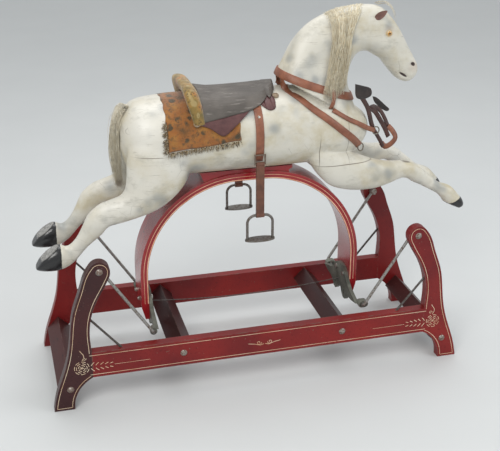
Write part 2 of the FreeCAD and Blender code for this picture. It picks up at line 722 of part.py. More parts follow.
def ring(at, axis, radius, wire_r):
    return Part.makeTorus(radius, wire_r, at, axis)


chest_ring = ring(V(309, -74, 588 + dz), V(0.35, 1, 0.1), 10.0, 1.8)

# The bridle has slipped off the head and hangs in front of the chest.


def flat_strap(points, width, thick, y):
    """Leather strip standing on edge in Y, following points in X-Z."""
    left, right = [], []
    for k, (x, z) in enumerate(points):
        a = points[max(k - 1, 0)]
        b = points[min(k + 1, len(points) - 1)]
        length = math.hypot(b[0] - a[0], b[1] - a[1])
        nx, nz = -(b[1] - a[1]) / length, (b[0] - a[0]) / length
        left.append((x + nx * thick / 2, z + dz + nz * thick / 2))
        right.append((x - nx * thick / 2, z + dz - nz * thick / 2))
    return prism(left + right[::-1], y - width / 2, y + width / 2)


blinker_a = prism([(268, 782), (312, 764), (316, 744), (277, 738), (270, 750)], -72, -69)
blinker_b = prism([(346, 731), (352, 722), (384, 694), (378, 686), (350, 702)], -24, -21)
save("blinkers", group([blinker_a, blinker_b]).translated(V(0, 0, dz)))
cheek_a = flat_strap([(300, 742), (306, 716), (322, 688), (334, 662), (340, 646)], 15, 3, -44)
cheek_b = flat_strap([(326, 694), (352, 688), (378, 645), (398, 604)], 15, 3, -8)
cheek_c = flat_strap([(360, 690), (384, 677), (402, 648), (408, 624)], 15, 3, 12)
noseband = flat_strap([(404, 628), (421, 606), (416, 590), (398, 578), (382, 588)], 18, 3, 2)
save("bridle_noseband", noseband)
rein_end = flat_strap([(322, 664), (334, 652), (346, 640)], 18, 3, -26)
hanging = [cheek_a, cheek_b, cheek_c, rein_end]
save("bridle_straps", group([biggest(s.cut(noseband).cut(wood[0])) for s in hanging]))
bit_ring = ring(V(352, -38, 630 + dz), V(0.2, 1, 0), 10.0, 1.8)
save("harness_rings", group([chest_ring, to_left(chest_ring), bit_ring]))

# ---- studs and rosettes --------------------------------------------------------------------------


def stud(solid, x, z, radius, height):
    """Round stud square to the right side of a solid, and bedded on it."""
    z = z + dz
    lean = (surface_y(solid, x, z - radius) - surface_y(solid, x, z + radius)) / (2 * radius)
    outward = V(0, -1, lean).normalize()
    foot = V(x, -surface_y(solid, x, z), z) - outward * radius
    return biggest(Part.makeCylinder(radius, radius + height, foot, outward).cut(solid))


rosette_r = 8.5
rosette_h = 4.0
roll_face = trunk(over_cloth + roll_rise + skin, over_cloth + roll_side + skin)
rosettes = [stud(roll_face, -148, 718, rosette_r, rosette_h), stud(wood[0], 74, 748, rosette_r, rosette_h)]
save("saddle_rosettes", group(rosettes + [to_left(r) for r in rosettes]))

# ---- stirrups ------------------------------------------------------------------------------------
# A short strap is nailed to the flank and ends in a buckle.  The long loop swings on the buckle bar,
# and the iron swings in the bottom of the loop.
half_strap = strap_width / 2
low_strap_z = buckle_z + 4.0
flank_box = Part.makeBox(strap_width, far / 2, leather_top_z - low_strap_z,
                         V(leather_x - half_strap, -far / 2, low_strap_z + dz))
flank_outline = [(-40, 560), (60, 560), (60, 790), (-40, 790)]
flank_layer = draped(skin, skin, strap_thick, strap_thick, flank_outline)
flank_strap = biggest(flank_layer.common(flank_box).cut(seat).cut(remnant))
save("flank_straps", group([flank_strap, to_left(flank_strap)]))

loop_gap = 1.2
crown_clear = iron_r + pivot_play
bar_clear = buckle_bar_r + pivot_play
bar_z = buckle_z + dz
buckle_rest = 0.5          # clearance between the buckle or the leather and the strap behind it
at_buckle = surface_y(flank_strap, leather_x, bar_z + buckle_frame_h) + buckle_bar_r
at_loop = surface_y(flank_strap, leather_x, low_strap_z + 1 + dz) + strap_thick + bar_clear
bar_y = max(at_buckle, at_loop) + buckle_rest
crown_z = bar_z - leather_drop


def loop_block(grown, x0, width):
    """Long rounded block round the buckle bar and the stirrup crown, grown outward."""
    half = loop_gap / 2 + grown
    top = Part.makeCylinder(bar_clear + grown, width, V(x0, -bar_y, bar_z), V(1, 0, 0))
    low = Part.makeCylinder(crown_clear + grown, width, V(x0, -bar_y, crown_z), V(1, 0, 0))
    sides = Part.makeBox(width, 2 * half, bar_z - crown_z, V(x0, -bar_y - half, crown_z))
    return top.fuse([low, sides]).removeSplitter()


def stirrup_leather():
    x0 = leather_x - half_strap
    return loop_block(strap_thick, x0, strap_width).cut(loop_block(0.0, x0 - 1, strap_width + 2))


def buckle():
    """Buckle frame with its bar; the frame stands up against the nailed strap."""
    half_w = strap_width / 2 + 4.5
    at = V(leather_x - half_w, -bar_y, bar_z)
    bar = Part.makeCylinder(buckle_bar_r, 2 * half_w, at, V(1, 0, 0))
    parts = [bar]
    for x in (leather_x - half_w + buckle_bar_r, leather_x + half_w - buckle_bar_r):
        parts.append(Part.makeCylinder(buckle_bar_r, buckle_frame_h, V(x, -bar_y, bar_z), V(0, 0, 1)))
    parts.append(Part.makeCylinder(buckle_bar_r, 2 * half_w, at + V(0, 0, buckle_frame_h), V(1, 0, 0)))
    return parts[0].fuse(parts[1:]).removeSplitter()


def stirrup_iron():
    """Rounded iron with an oval tread, hung by its flat crown."""
    y = -bar_y
    crown_half = strap_width / 2 + 2.0
    bend = iron_half_width - crown_half
    low_z = crown_z - iron_height
    x_l, x_r = leather_x - iron_half_width, leather_x + iron_half_width
    s = bend * math.sqrt(0.5)
    side_z = crown_z - bend
    turn_l, turn_r = V(x_l + bend - s, y, side_z + s), V(x_r - bend + s, y, side_z + s)
    crown_l, crown_r = V(x_l + bend, y, crown_z), V(x_r - bend, y, crown_z)
    path = [
        Part.makeLine(V(x_l, y, low_z), V(x_l, y, side_z)),
        Part.Arc(V(x_l, y, side_z), turn_l, crown_l).toShape(),
        Part.makeLine(crown_l, crown_r),
        Part.Arc(crown_r, turn_r, V(x_r, y, side_z)).toShape(),
        Part.makeLine(V(x_r, y, side_z), V(x_r, y, low_z)),
    ]
    hoop = sweep(path, iron_r)
    tread_half_width = iron_half_width + iron_r + tread_lip
    ellipse = Part.Ellipse(V(leather_x, y, low_z - tread_thick / 2), tread_half_width, tread_half_depth)
    tread = Part.Face(Part.Wire(ellipse.toShape())).extrude(V(0, 0, tread_thick))
    return hoop.fuse(tread).removeSplitter()


leather_loop = stirrup_leather()
iron = stirrup_iron()
strap_buckle = buckle()
save("stirrup_buckles", group([strap_buckle, to_left(strap_buckle)]))
save("right_stirrup_leather", leather_loop)
save("left_stirrup_leather", to_left(leather_loop))
save("right_stirrup", iron)
save("left_stirrup", to_left(iron))

if __name__ == "__main__":
    for name, shape in built.items():
        box = shape.BoundBox
        print("%-24s %d solids  valid %s  volume %9.0f  x %.0f..%.0f y %.0f..%.0f z %.0f..%.0f" % (
            name, len(shape.Solids), shape.isValid(), shape.Volume,
            box.XMin, box.XMax, box.YMin, box.YMax, box.ZMin, box.ZMax))
    print("buckle bar at y %.2f z %.2f, stirrup crown at z %.2f" % (bar_y, bar_z, crown_z))
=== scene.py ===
import math
import random

import bmesh
import bpy
import numpy as np
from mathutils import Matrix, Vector
from mathutils.bvhtree import BVHTree


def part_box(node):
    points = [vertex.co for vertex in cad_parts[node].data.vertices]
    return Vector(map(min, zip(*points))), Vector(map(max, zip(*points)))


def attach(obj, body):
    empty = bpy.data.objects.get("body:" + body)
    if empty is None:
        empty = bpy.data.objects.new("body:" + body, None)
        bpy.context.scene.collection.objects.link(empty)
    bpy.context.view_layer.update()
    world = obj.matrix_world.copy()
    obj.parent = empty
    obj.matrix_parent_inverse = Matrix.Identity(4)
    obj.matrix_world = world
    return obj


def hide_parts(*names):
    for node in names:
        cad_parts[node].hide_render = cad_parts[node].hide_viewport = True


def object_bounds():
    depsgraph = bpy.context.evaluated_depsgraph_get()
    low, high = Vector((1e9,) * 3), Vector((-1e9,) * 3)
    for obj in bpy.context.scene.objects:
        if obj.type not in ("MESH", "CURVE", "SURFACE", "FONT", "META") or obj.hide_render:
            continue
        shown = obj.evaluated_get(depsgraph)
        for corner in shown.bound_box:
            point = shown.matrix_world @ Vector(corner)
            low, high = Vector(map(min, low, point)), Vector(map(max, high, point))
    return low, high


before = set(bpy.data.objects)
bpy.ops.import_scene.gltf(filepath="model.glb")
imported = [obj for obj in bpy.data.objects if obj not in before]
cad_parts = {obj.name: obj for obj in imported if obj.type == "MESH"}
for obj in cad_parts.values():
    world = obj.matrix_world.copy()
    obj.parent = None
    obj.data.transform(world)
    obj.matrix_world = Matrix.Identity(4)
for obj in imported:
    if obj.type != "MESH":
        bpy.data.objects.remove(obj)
cad_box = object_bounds()

# ---- Camera, floor and studio light ----
# A still life stand: one camera a little above the horse, a seamless pale grey floor and
# large soft lamps.
sensor_width = 36.0
camera_data = bpy.data.cameras.new("camera")
camera_data.sensor_width = sensor_width
camera_data.lens = 72.74
camera = bpy.data.objects.new("camera", camera_data)
bpy.context.collection.objects.link(camera)
bpy.context.scene.camera = camera
camera_yaw, camera_pitch = math.radians(14.924), math.radians(23.753)
camera.location = (-0.6376, -2.4253, 1.4873)
look = Vector((math.sin(camera_yaw) * math.cos(camera_pitch), math.cos(camera_yaw) * math.cos(camera_pitch),
               -math.sin(camera_pitch)))
camera.rotation_euler = look.to_track_quat("-Z", "Y").to_euler()

bpy.context.scene.view_settings.view_transform = "Standard"


def new_material(name, roughness=0.5, metallic=0.0):
    """A material with its Principled shader, and a short way to add nodes and links to it."""
    made = bpy.data.materials.new(name)
    made.use_nodes = True
    shader = made.node_tree.nodes["Principled BSDF"]
    shader.inputs["Roughness"].default_value = roughness
    shader.inputs["Metallic"].default_value = metallic
    return made, made.node_tree, shader


def node(tree, kind, settings=None, **inputs):
    """Adds a node.  Inputs are values, or sockets to link from; an underscore stands for a space."""
    made = tree.nodes.new(kind)
    for key, value in (settings or {}).items():
        setattr(made, key, value)
    for key, value in inputs.items():
        name = key.replace("_", " ")
        numbered = name.startswith("in") and name[2:].isdigit()
        socket = made.inputs[int(name[2:])] if numbered else made.inputs[name]
        if isinstance(value, bpy.types.NodeSocket):
            tree.links.new(value, socket)
        else:
            socket.default_value = value
    return made


def ramp(tree, value, *stops):
    """Colour ramp from (place, colour) stops."""
    made = node(tree, "ShaderNodeValToRGB", Fac=value)
    while len(made.color_ramp.elements) < len(stops):
        made.color_ramp.elements.new(0.5)
    for element, (place, colour) in zip(made.color_ramp.elements, stops):
        element.position = place
        element.color = (*colour, 1.0)
    return made.outputs["Color"]


def mask(tree, value, low, high):
    """0 below low, 1 above high, or the other way round when low is the larger."""
    made = node(tree, "ShaderNodeMapRange", {"interpolation_type": "SMOOTHSTEP"}, Value=value)
    made.inputs["From Min"].default_value = min(low, high)
    made.inputs["From Max"].default_value = max(low, high)
    made.inputs["To Min"].default_value = 0.0 if low < high else 1.0
    made.inputs["To Max"].default_value = 1.0 if low < high else 0.0
    return made.outputs["Result"]


def mix(tree, amount, first, second):
    made = node(tree, "ShaderNodeMix", {"data_type": "RGBA"}, Factor=amount)
    for socket, value in ((made.inputs[6], first), (made.inputs[7], second)):
        if isinstance(value, bpy.types.NodeSocket):
            tree.links.new(value, socket)
        else:
            socket.default_value = (*value, 1.0)
    return made.outputs[2]


def math_node(tree, operation, first, second=0.0):
    made = node(tree, "ShaderNodeMath", {"operation": operation}, in0=first, in1=second)
    return made.outputs[0]


def noise(tree, where, scale, detail=3.0, roughness=0.55):
    made = node(tree, "ShaderNodeTexNoise", Vector=where, Scale=scale, Detail=detail, Roughness=roughness)
    return made.outputs["Fac"]


def place_of(tree, scale=(1.0, 1.0, 1.0), location=(0.0, 0.0, 0.0), rotation=(0.0, 0.0, 0.0)):
    """The piece's own coordinates in metres, moved, turned and stretched."""
    where = node(tree, "ShaderNodeTexCoord").outputs["Object"]
    made = node(tree, "ShaderNodeMapping", Vector=where, Scale=scale, Location=location, Rotation=rotation)
    return made.outputs["Vector"]


def bump(tree, height, distance, strength=1.0, under=None):
    made = node(tree, "ShaderNodeBump", Height=height, Distance=distance, Strength=strength)
    if under is not None:
        tree.links.new(under, made.inputs["Normal"])
    return made.outputs["Normal"]


def feed(tree, shader, **sockets):
    for key, value in sockets.items():
        tree.links.new(value, shader.inputs[key.replace("_", " ")])


floor_material, tree, shader = new_material("studio_floor", roughness=0.75)
paper = noise(tree, place_of(tree), 3.0)
feed(tree, shader, Base_Color=ramp(tree, paper, (0.3, (0.60, 0.615, 0.615)), (0.7, (0.615, 0.63, 0.63))))
bpy.ops.mesh.primitive_plane_add(size=40.0, location=(0, 0, cad_box[0][2]))
floor = bpy.context.object
floor.name = "floor"
floor.data.materials.append(floor_material)

world = bpy.data.worlds.new("studio")
world.use_nodes = True
world.node_tree.nodes["Background"].inputs["Color"].default_value = (0.80, 0.82, 0.83, 1.0)
world.node_tree.nodes["Background"].inputs["Strength"].default_value = 0.80
bpy.context.scene.world = world


def lamp(name, place, target, size, power, colour=(1.0, 1.0, 1.0)):
    data = bpy.data.lights.new(name, "AREA")
    data.shape = "DISK"
    data.size = size
    data.energy = power
    data.color = colour
    made = bpy.data.objects.new(name, data)
    made.location = place
    made.rotation_euler = (Vector(target) - Vector(place)).to_track_quat("-Z", "Y").to_euler()
    bpy.context.collection.objects.link(made)


lamp("key_lamp", (-1.6, -2.4, 3.0), (0, 0, 0.5), 1.8, 62.0, (1.0, 0.98, 0.95))
lamp("fill_lamp", (2.6, -1.6, 2.2), (0, 0, 0.4), 2.2, 26.0, (0.95, 0.98, 1.0))
lamp("top_lamp", (0.2, 0.8, 3.2), (0, 0, 0.4), 2.2, 34.0)

# ---- Side frames ----
# Each side of the stand is a rail between two curved posts, sawn from beech boards, painted oil red
# and worn to the wood along its edges.


def edge_wear_group():
    """Worn patches: an arris mask from the bevelled normal, broken up by noise."""
    group = bpy.data.node_groups.new("edge_wear", "ShaderNodeTree")
    group.interface.new_socket(name="Width", in_out="INPUT", socket_type="NodeSocketFloat")
    group.interface.new_socket(name="Scatter", in_out="INPUT", socket_type="NodeSocketFloat")
    group.interface.new_socket(name="Worn", in_out="OUTPUT", socket_type="NodeSocketFloat")
    entry = group.nodes.new("NodeGroupInput")
    leave = group.nodes.new("NodeGroupOutput")
    soft = group.nodes.new("ShaderNodeBevel")
    soft.samples = 6
    group.links.new(entry.outputs["Width"], soft.inputs["Radius"])
    flat = group.nodes.new("ShaderNodeNewGeometry")
    turned = node(group, "ShaderNodeVectorMath", {"operation": "DOT_PRODUCT"},
                  in0=soft.outputs["Normal"], in1=flat.outputs["Normal"])
    edge = mask(group, turned.outputs["Value"], 0.995, 0.90)
    where = group.nodes.new("ShaderNodeTexCoord").outputs["Object"]
    broken = node(group, "ShaderNodeTexNoise", Vector=where, Detail=5.0, Roughness=0.7)
    group.links.new(entry.outputs["Scatter"], broken.inputs["Scale"])
    patches = mask(group, broken.outputs["Fac"], 0.42, 0.62)
    group.links.new(math_node(group, "MULTIPLY", edge, patches), leave.inputs["Worn"])
    return group


edge_wear = edge_wear_group()


def worn(tree, width, scatter):
    made = node(tree, "ShaderNodeGroup", {"node_tree": edge_wear}, Width=width, Scatter=scatter)
    return made.outputs["Worn"]


def old_paint(name, dark, light, dust, gloss, along=(1.0, 1.0, 1.0)):
    """Aged oil paint on wood: two tones in slow clouds, fine grain, grime and bare worn edges."""
    made, tree, shader = new_material(name, roughness=gloss)
    clouds = noise(tree, place_of(tree, scale=along), 5.0, 4.0)
    grain = noise(tree, place_of(tree, scale=tuple(9 * a for a in along)), 22.0, 4.0, 0.7)
    tone = ramp(tree, clouds, (0.32, dark), (0.68, light))
    grimy = mix(tree, mask(tree, grain, 0.55, 0.75), tone, tuple(0.55 * c for c in dark))
    specks = mask(tree, noise(tree, place_of(tree), 160.0, 2.0), 0.70, 0.76)
    chipped = mix(tree, specks, grimy, dust)
    colour = mix(tree, worn(tree, 0.004, 45.0), chipped, dust)
    rough = ramp(tree, clouds, (0.3, (gloss * 0.85,) * 3), (0.75, (min(gloss * 1.5, 1.0),) * 3))
    height = math_node(tree, "ADD", math_node(tree, "MULTIPLY", grain, 0.6), specks)
    feed(tree, shader, Base_Color=colour, Roughness=rough, Normal=bump(tree, height, 0.0004, 0.6))
    shader.inputs["Specular IOR Level"].default_value = 0.28
    shader.inputs["Coat Weight"].default_value = 0.12
    shader.inputs["Coat Roughness"].default_value = 0.25
    return made


red = old_paint("red_oil_paint", (0.120, 0.006, 0.008), (0.235, 0.013, 0.011), (0.16, 0.09, 0.07), 0.38)
darker_red = old_paint("darker_red_paint", (0.030, 0.009, 0.010), (0.062, 0.013, 0.013),
                      (0.13, 0.08, 0.065), 0.4)


def dress(name, *materials):
    """Gives a CAD node its finish."""
    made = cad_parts[name]
    made.data.materials.clear()
    for material in materials:
        made.data.materials.append(material)
    return made


def soften(made, width, segments=3):
    """Rounds the arrises as use does."""
    bevel = made.modifiers.new("arris", "BEVEL")
    bevel.width = width
    bevel.segments = segments
    bevel.limit_method = "ANGLE"
    bevel.angle_limit = math.radians(40)
    bevel.harden_normals = True
    return made


for name in ("front_right_post", "front_left_post", "rear_left_post", "right_rail", "left_rail"):
    soften(dress(name, red), 0.0015)
# The rear right post has a darker, browner copy of the red paint.
soften(dress("rear_right_post", darker_red), 0.0015)

# ---- Cross bars ----
# Four square bars set cornerwise join the side frames.  They are stained brown red, and their upper
# arrises are rubbed dusty brown.
bar_stain = old_paint("cross_bar_stain", (0.022, 0.006, 0.006), (0.060, 0.012, 0.011),
                      (0.115, 0.065, 0.05), 0.42,
                      along=(1.0, 0.15, 1.0))
for name in ("rear_end_bar", "rear_inner_bar", "front_inner_bar", "front_end_bar"):
    soften(dress(name, bar_stain), 0.0025)

# ---- Bolts and nuts ----
# Round-headed coach bolts hold the bars and the hangers; their heads are dull grey brown with rust.


def old_iron(name, bright, rust, roughness, amount):
    """Bare iron with a film of rust in patches."""
    made, tree, shader = new_material(name, roughness=roughness)
    patches = noise(tree, place_of(tree), 140.0, 5.0, 0.7)
    rusty = mask(tree, patches, 0.62 - 0.3 * amount, 0.72 - 0.2 * amount)
    fine = noise(tree, place_of(tree), 900.0, 2.0)
    metal = node(tree, "ShaderNodeMath", {"operation": "SUBTRACT"}, in0=1.0, in1=rusty).outputs[0]
    feed(tree, shader, Base_Color=mix(tree, rusty, bright, rust), Metallic=metal,
         Roughness=ramp(tree, rusty, (0.0, (roughness,) * 3), (1.0, (0.8,) * 3)),
         Normal=bump(tree, math_node(tree, "ADD", patches, fine), 0.0003, 0.5))
    return made


dull_steel = old_iron("dull_steel", (0.36, 0.33, 0.30), (0.14, 0.085, 0.06), 0.42, 0.7)
for name in ("cross_bar_bolts", "pivot_bolts", "pivot_washers", "pivot_nuts", "yoke_nuts", "bow_screws"):
    soften(dress(name, dull_steel), 0.0006)
bright_steel = old_iron("bright_screw", (0.62, 0.62, 0.58), (0.22, 0.17, 0.12), 0.3, 0.2)
soften(dress("yoke_bolts", bright_steel), 0.0006)

# ---- Braces and hangers ----
# Bent iron rods: thin dark ones stay the posts, and thicker grey ones, with a forged eye at the top,
# carry the horse.
dark_rod = old_iron("dark_rod", (0.13, 0.12, 0.115), (0.06, 0.045, 0.035), 0.4, 0.6)
grey_rod = old_iron("grey_rod", (0.34, 0.33, 0.31), (0.12, 0.085, 0.065), 0.34, 0.45)
dress("braces", dark_rod)
dress("tie_wire", dark_rod)
for name in ("front_right_hanger", "front_left_hanger", "rear_right_hanger", "rear_left_hanger",
             "front_split_pins", "rear_split_pins"):
    soften(dress(name, grey_rod), 0.0004)

# ---- Yokes ----
# Two sand cast iron yokes clasp the ends of the bow.  Their skin is pitted and grey green.
casting, tree, shader = new_material("grey_casting", roughness=0.5)
pits = noise(tree, place_of(tree), 260.0, 5.0, 0.75)
film = noise(tree, place_of(tree), 26.0, 3.0)
skin_tone = ramp(tree, film, (0.3, (0.085, 0.088, 0.072)), (0.7, (0.21, 0.215, 0.18)))
feed(tree, shader, Base_Color=mix(tree, mask(tree, pits, 0.6, 0.75), skin_tone, (0.07, 0.045, 0.03)),
     Normal=bump(tree, pits, 0.0012, 0.8))
shader.inputs["Metallic"].default_value = 0.55
for name in ("front_yoke", "rear_yoke"):
    soften(dress(name, casting), 0.0015)

# ---- Bow and block ----
# A steam bent bow of ash, glossy red and lined in cream, carries the horse on a moulded block.
bow_red = old_paint("bow_red_gloss", (0.215, 0.006, 0.010), (0.330, 0.010, 0.014), (0.30, 0.11, 0.08), 0.24)
bow_red.node_tree.nodes["Principled BSDF"].inputs["Coat Weight"].default_value = 0.7
soften(dress("bow", bow_red), 0.0015)
soften(dress("bow_block", bow_red), 0.002)

# ---- Painted lines and scrolls ----
# Gold lines drawn round the outer faces of both side frames and along the bow, with a rosette and
# scrolls where each rail meets its post.
mm = 0.001
gold, tree, shader = new_material("gold_lining", roughness=0.45)
rubbed_off = mask(tree, noise(tree, place_of(tree), 60.0, 5.0, 0.75), 0.60, 0.68)
gold_tone = ramp(tree, noise(tree, place_of(tree), 25.0, 3.0), (0.35, (0.60, 0.38, 0.22)),
                 (0.65, (0.80, 0.66, 0.48)))
feed(tree, shader, Base_Color=mix(tree, rubbed_off, gold_tone, (0.16, 0.025, 0.02)))


def outer_edge_of(name, face_y):
    """Longest outline of a post's flat outer face, as X and Z points in millimetres, about 2 mm apart."""
    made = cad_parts[name]
    places = [made.matrix_world @ v.co for v in made.data.vertices]
    key = [(round(p.x / mm, 2), round(p.z / mm, 2)) for p in places]
    sides = {}
    for polygon in made.data.polygons:
        if all(abs(places[v].y - face_y) < 0.0002 for v in polygon.vertices):
            ring = [key[v] for v in polygon.vertices]
            for a, b in zip(ring, ring[1:] + ring[:1]):
                pair = frozenset((a, b))
                sides[pair] = None if pair in sides else (a, b)
    follow = {pair[0]: pair[1] for pair in sides.values() if pair}
    loops = []
    while follow:
        start, at = follow.popitem()
        loop = [start]
        while at in follow and at != start:
            loop.append(at)
            at = follow.pop(at)
        loops.append(loop)
    loop = np.array(max(loops, key=lambda run: sum(math.dist(a, b) for a, b in zip(run, run[1:] + run[:1]))))
    closed = np.vstack([loop, loop[:1]])
    reach = np.concatenate([[0], np.cumsum(np.linalg.norm(np.diff(closed, axis=0), axis=1))])
    even = np.linspace(0, reach[-1], int(reach[-1] / 2), endpoint=False)
    return np.stack([np.interp(even, reach, closed[:, 0]), np.interp(even, reach, closed[:, 1])], 1)


def moved_in(outline, inset, keep):
    """Runs of points inset from a closed outline, leaving out corners and whatever keep() refuses."""
    ahead = np.roll(outline, -2, 0) - np.roll(outline, 2, 0)
    inward = np.stack([-ahead[:, 1], ahead[:, 0]], 1) / np.linalg.norm(ahead, axis=1)[:, None]
    following = np.roll(outline, -1, 0)
    area = 0.5 * (outline[:, 0] * following[:, 1] - following[:, 0] * outline[:, 1]).sum()
    points = outline + inward * inset * (1 if area > 0 else -1)
    clear = [np.linalg.norm(outline - p, axis=1).min() > inset - 0.6 and keep(*p) for p in points]
    if all(clear):
        return [np.vstack([points, points[:1]])]
    first = clear.index(False)
    runs, run = [], []
    for k in range(len(points)):
        i = (first + k) % len(points)
        if clear[i]:
            run.append(points[i])
        elif run:
            runs.append(run)
            run = []
    if run:
        runs.append(run)
    return [np.array(r) for r in runs if len(r) > 4]


def ribbon(points, y, out, width):
    """Band of paint along X and Z points, standing a hair above the face at y."""
    points = np.array(points, dtype=float)
    ahead = np.gradient(points, axis=0)
    lengths = np.maximum(np.linalg.norm(ahead, axis=1), 1e-6)
    aside = np.stack([-ahead[:, 1], ahead[:, 0]], 1) / lengths[:, None]
    rings = []
    for point, side in zip(points, aside):
        a, b = point + side * width / 2, point - side * width / 2
        rings.append([(a[0] * mm, y, a[1] * mm), (a[0] * mm, y + out, a[1] * mm),
                      (b[0] * mm, y + out, b[1] * mm), (b[0] * mm, y, b[1] * mm)])
    count = 4
    verts = [p for ring in rings for p in ring]
    faces = [(i * count + j, i * count + (j + 1) % count, (i + 1) * count + (j + 1) % count,
              (i + 1) * count + j)
             for i in range(len(rings) - 1) for j in range(count)]
    return verts, faces


def gathered(name, parts, *materials):
    """One piece from several sets of vertices and faces."""
    verts, faces = [], []
    for part_verts, part_faces in parts:
        start = len(verts)
        verts += part_verts
        faces += [tuple(start + i for i in face) for face in part_faces]
    data = bpy.data.meshes.new(name)
    data.from_pydata([tuple(v) for v in verts], [], faces)
    data.update()
    made = bpy.data.objects.new(name, data)
    for material in materials:
        data.materials.append(material)
    bpy.context.collection.objects.link(made)
    return made


def circle(x, z, radius, start=0, end=360):
    turns = [math.radians(start + (end - start) * k / 24) for k in range(25)]
    return [(x + radius * math.cos(a), z + radius * math.sin(a)) for a in turns]


def spiral(x, z, radius, start, turn):
    """Scroll that winds in from radius, beginning at the angle start."""
    line = []
    for k in range(25):
        reach, angle = radius * (1 - 0.85 * k / 24), math.radians(start + turn * k / 24)
        line.append((x + reach * math.cos(angle), z + reach * math.sin(angle)))
    return line


def scrolls(end):
    """Strokes of one junction; end is 1 in front and -1 behind."""
    x = end * 483.0
    strokes = [(circle(x, 119, 1.4), 2.0)]
    for radius, count, gap in ((18.5, 7, 16), (13.5, 6, 18), (8.5, 4, 24)):
        for k in range(count):
            start = 360 * k / count + radius * 3
            strokes.append((circle(x, 119, radius, start, start + 360 / count - gap), 1.3))
    for side in (-1, 1):
        strokes.append((spiral(x + side * 4, 119, 3.6, 90, side * 300), 1.0))
    strokes.append(([(x - end * 2 + 5 * math.sin(k / 3.4), 141 + 2.1 * k) for k in range(15)], 1.3))
    strokes.append((spiral(x - end * 8, 146, 5.0, 0, end * 400), 1.1))
    for k in range(5):
        root, rise = x - end * (24 + 12 * k), 13.0 - 1.6 * k
        for up in (-1, 1):
            strokes.append(([(root, 119 + up * 4.0), (root - end * 4, 119 + up * (rise * 0.55 + 2)),
                             (root - end * 8, 119 + up * rise)], 1.4))
    strokes.append(([(x - end * 84, 119), (x - end * 130, 119), (x - end * 176, 119)], 0.6))
    return strokes


rail_low, rail_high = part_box("right_rail")
line_z = (rail_low[2] / mm + 8, rail_high[2] / mm - 8)
parts = []
for face_y, out, hand in ((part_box("right_rail")[0][1], -0.0002, "right"),
                          (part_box("left_rail")[1][1], 0.0002, "left")):
    for end, name in ((1, "front"), (-1, "rear")):
        outline = outer_edge_of(name + "_" + hand + "_post", face_y)
        clear_of_rail = (lambda x, z, end=end: not (x * end < 466 and 92 < z < 157))
        for run in moved_in(outline, 6.5, clear_of_rail):
            parts.append(ribbon(run, face_y, out, 1.15))
        for stroke, width in scrolls(end):
            parts.append(ribbon(stroke, face_y, out, width))
    for z in line_z:
        parts.append(ribbon([(x, z) for x in range(-462, 463, 12)], face_y, out, 1.15))
    for end in (-1, 1):
        parts.append(ribbon(spiral(end * 15, 124, 7.0, 90 + end * 90, end * 430), face_y, out, 1.2))
        parts.append(ribbon([(end * 2, 119), (end * 12, 116), (end * 26, 121), (end * 44, 124)],
                            face_y, out, 1.3))
lining = gathered("gold_lining_stand", parts, gold)
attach(lining, "stand")

bow_gold, tree, shader = new_material("bow_lining", roughness=0.4)
shade = noise(tree, place_of(tree), 30.0, 4.0)
feed(tree, shader, Base_Color=ramp(tree, shade, (0.32, (0.60, 0.25, 0.13)), (0.6, (0.82, 0.52, 0.34))))
bow_low, bow_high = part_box("bow")
bow_half, bow_top = bow_high[0] / mm, bow_high[2] / mm


def along_bow(inset):
    """X and Z points up one leg, over the arch and down the other, inset from the outer face."""
    radius = 270.0 - inset
    flat, spring = bow_half - 270.0, bow_top - 270.0
    points = [(-bow_half + inset, z) for z in np.linspace(bow_low[2] / mm + 46, spring, 8)[:-1]]
    turns = np.linspace(0, math.pi / 2, 60)
    points += [(-flat - radius * math.cos(a), spring + radius * math.sin(a)) for a in turns]
    return points + [(-x, z) for x, z in reversed(points)]


parts = []
for face_y, out in ((bow_low[1], -0.0003), (bow_high[1], 0.0003)):
    parts.append(ribbon(along_bow(17.8), face_y, out, 2.2))
    parts.append(ribbon(along_bow(9.0), face_y, out, 1.1))
bow_lining = gathered("bow_lining", parts, bow_gold)
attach(bow_lining, "horse")

# ---- Carved horse ----
# The trunk, the neck and head and the legs are glued up from pine blocks, carved, filled with gesso
# and painted as one, so one skin covers them all.


def between(stations, spacing):
    """Smooth run through stations of any numbers, about spacing apart in their first three."""
    rows = np.array(stations, dtype=float)
    ends = np.vstack([2 * rows[0] - rows[1], rows, 2 * rows[-1] - rows[-2]])
    made = []
    for a, b, c, d in zip(ends[:-3], ends[1:-2], ends[2:-1], ends[3:]):
        count = max(2, int(np.linalg.norm(c[:3] - b[:3]) / spacing))
        for t in np.arange(count) / count:
            made.append(0.5 * (2 * b + (c - a) * t + (2 * a - 5 * b + 4 * c - d) * t ** 2
                               + (3 * b - a - 3 * c + d) * t ** 3))
    made.append(rows[-1])
    return np.array(made)


def mesh_piece(name, verts, faces, *materials, smooth=True):
    data = bpy.data.meshes.new(name)
    data.from_pydata([tuple(v) for v in verts], [], faces)
    data.update()
    if smooth:
        data.polygons.foreach_set("use_smooth", [True] * len(data.polygons))
    made = bpy.data.objects.new(name, data)
    for material in materials:
        data.materials.append(material)
    bpy.context.collection.objects.link(made)
    return made


def skin_rings(rings, close_round=True, cap=True):
    """Vertices and faces over a list of equal rings."""
    count = len(rings[0])
    verts = [tuple(p) for ring in rings for p in ring]
    faces = []
    for i in range(len(rings) - 1):
        for j in range(count if close_round else count - 1):
            k = (j + 1) % count
            faces.append((i * count + j, i * count + k, (i + 1) * count + k, (i + 1) * count + j))
    if cap:
        faces.append(tuple(range(count - 1, -1, -1)))
        faces.append(tuple(range((len(rings) - 1) * count, len(rings) * count)))
    return verts, faces


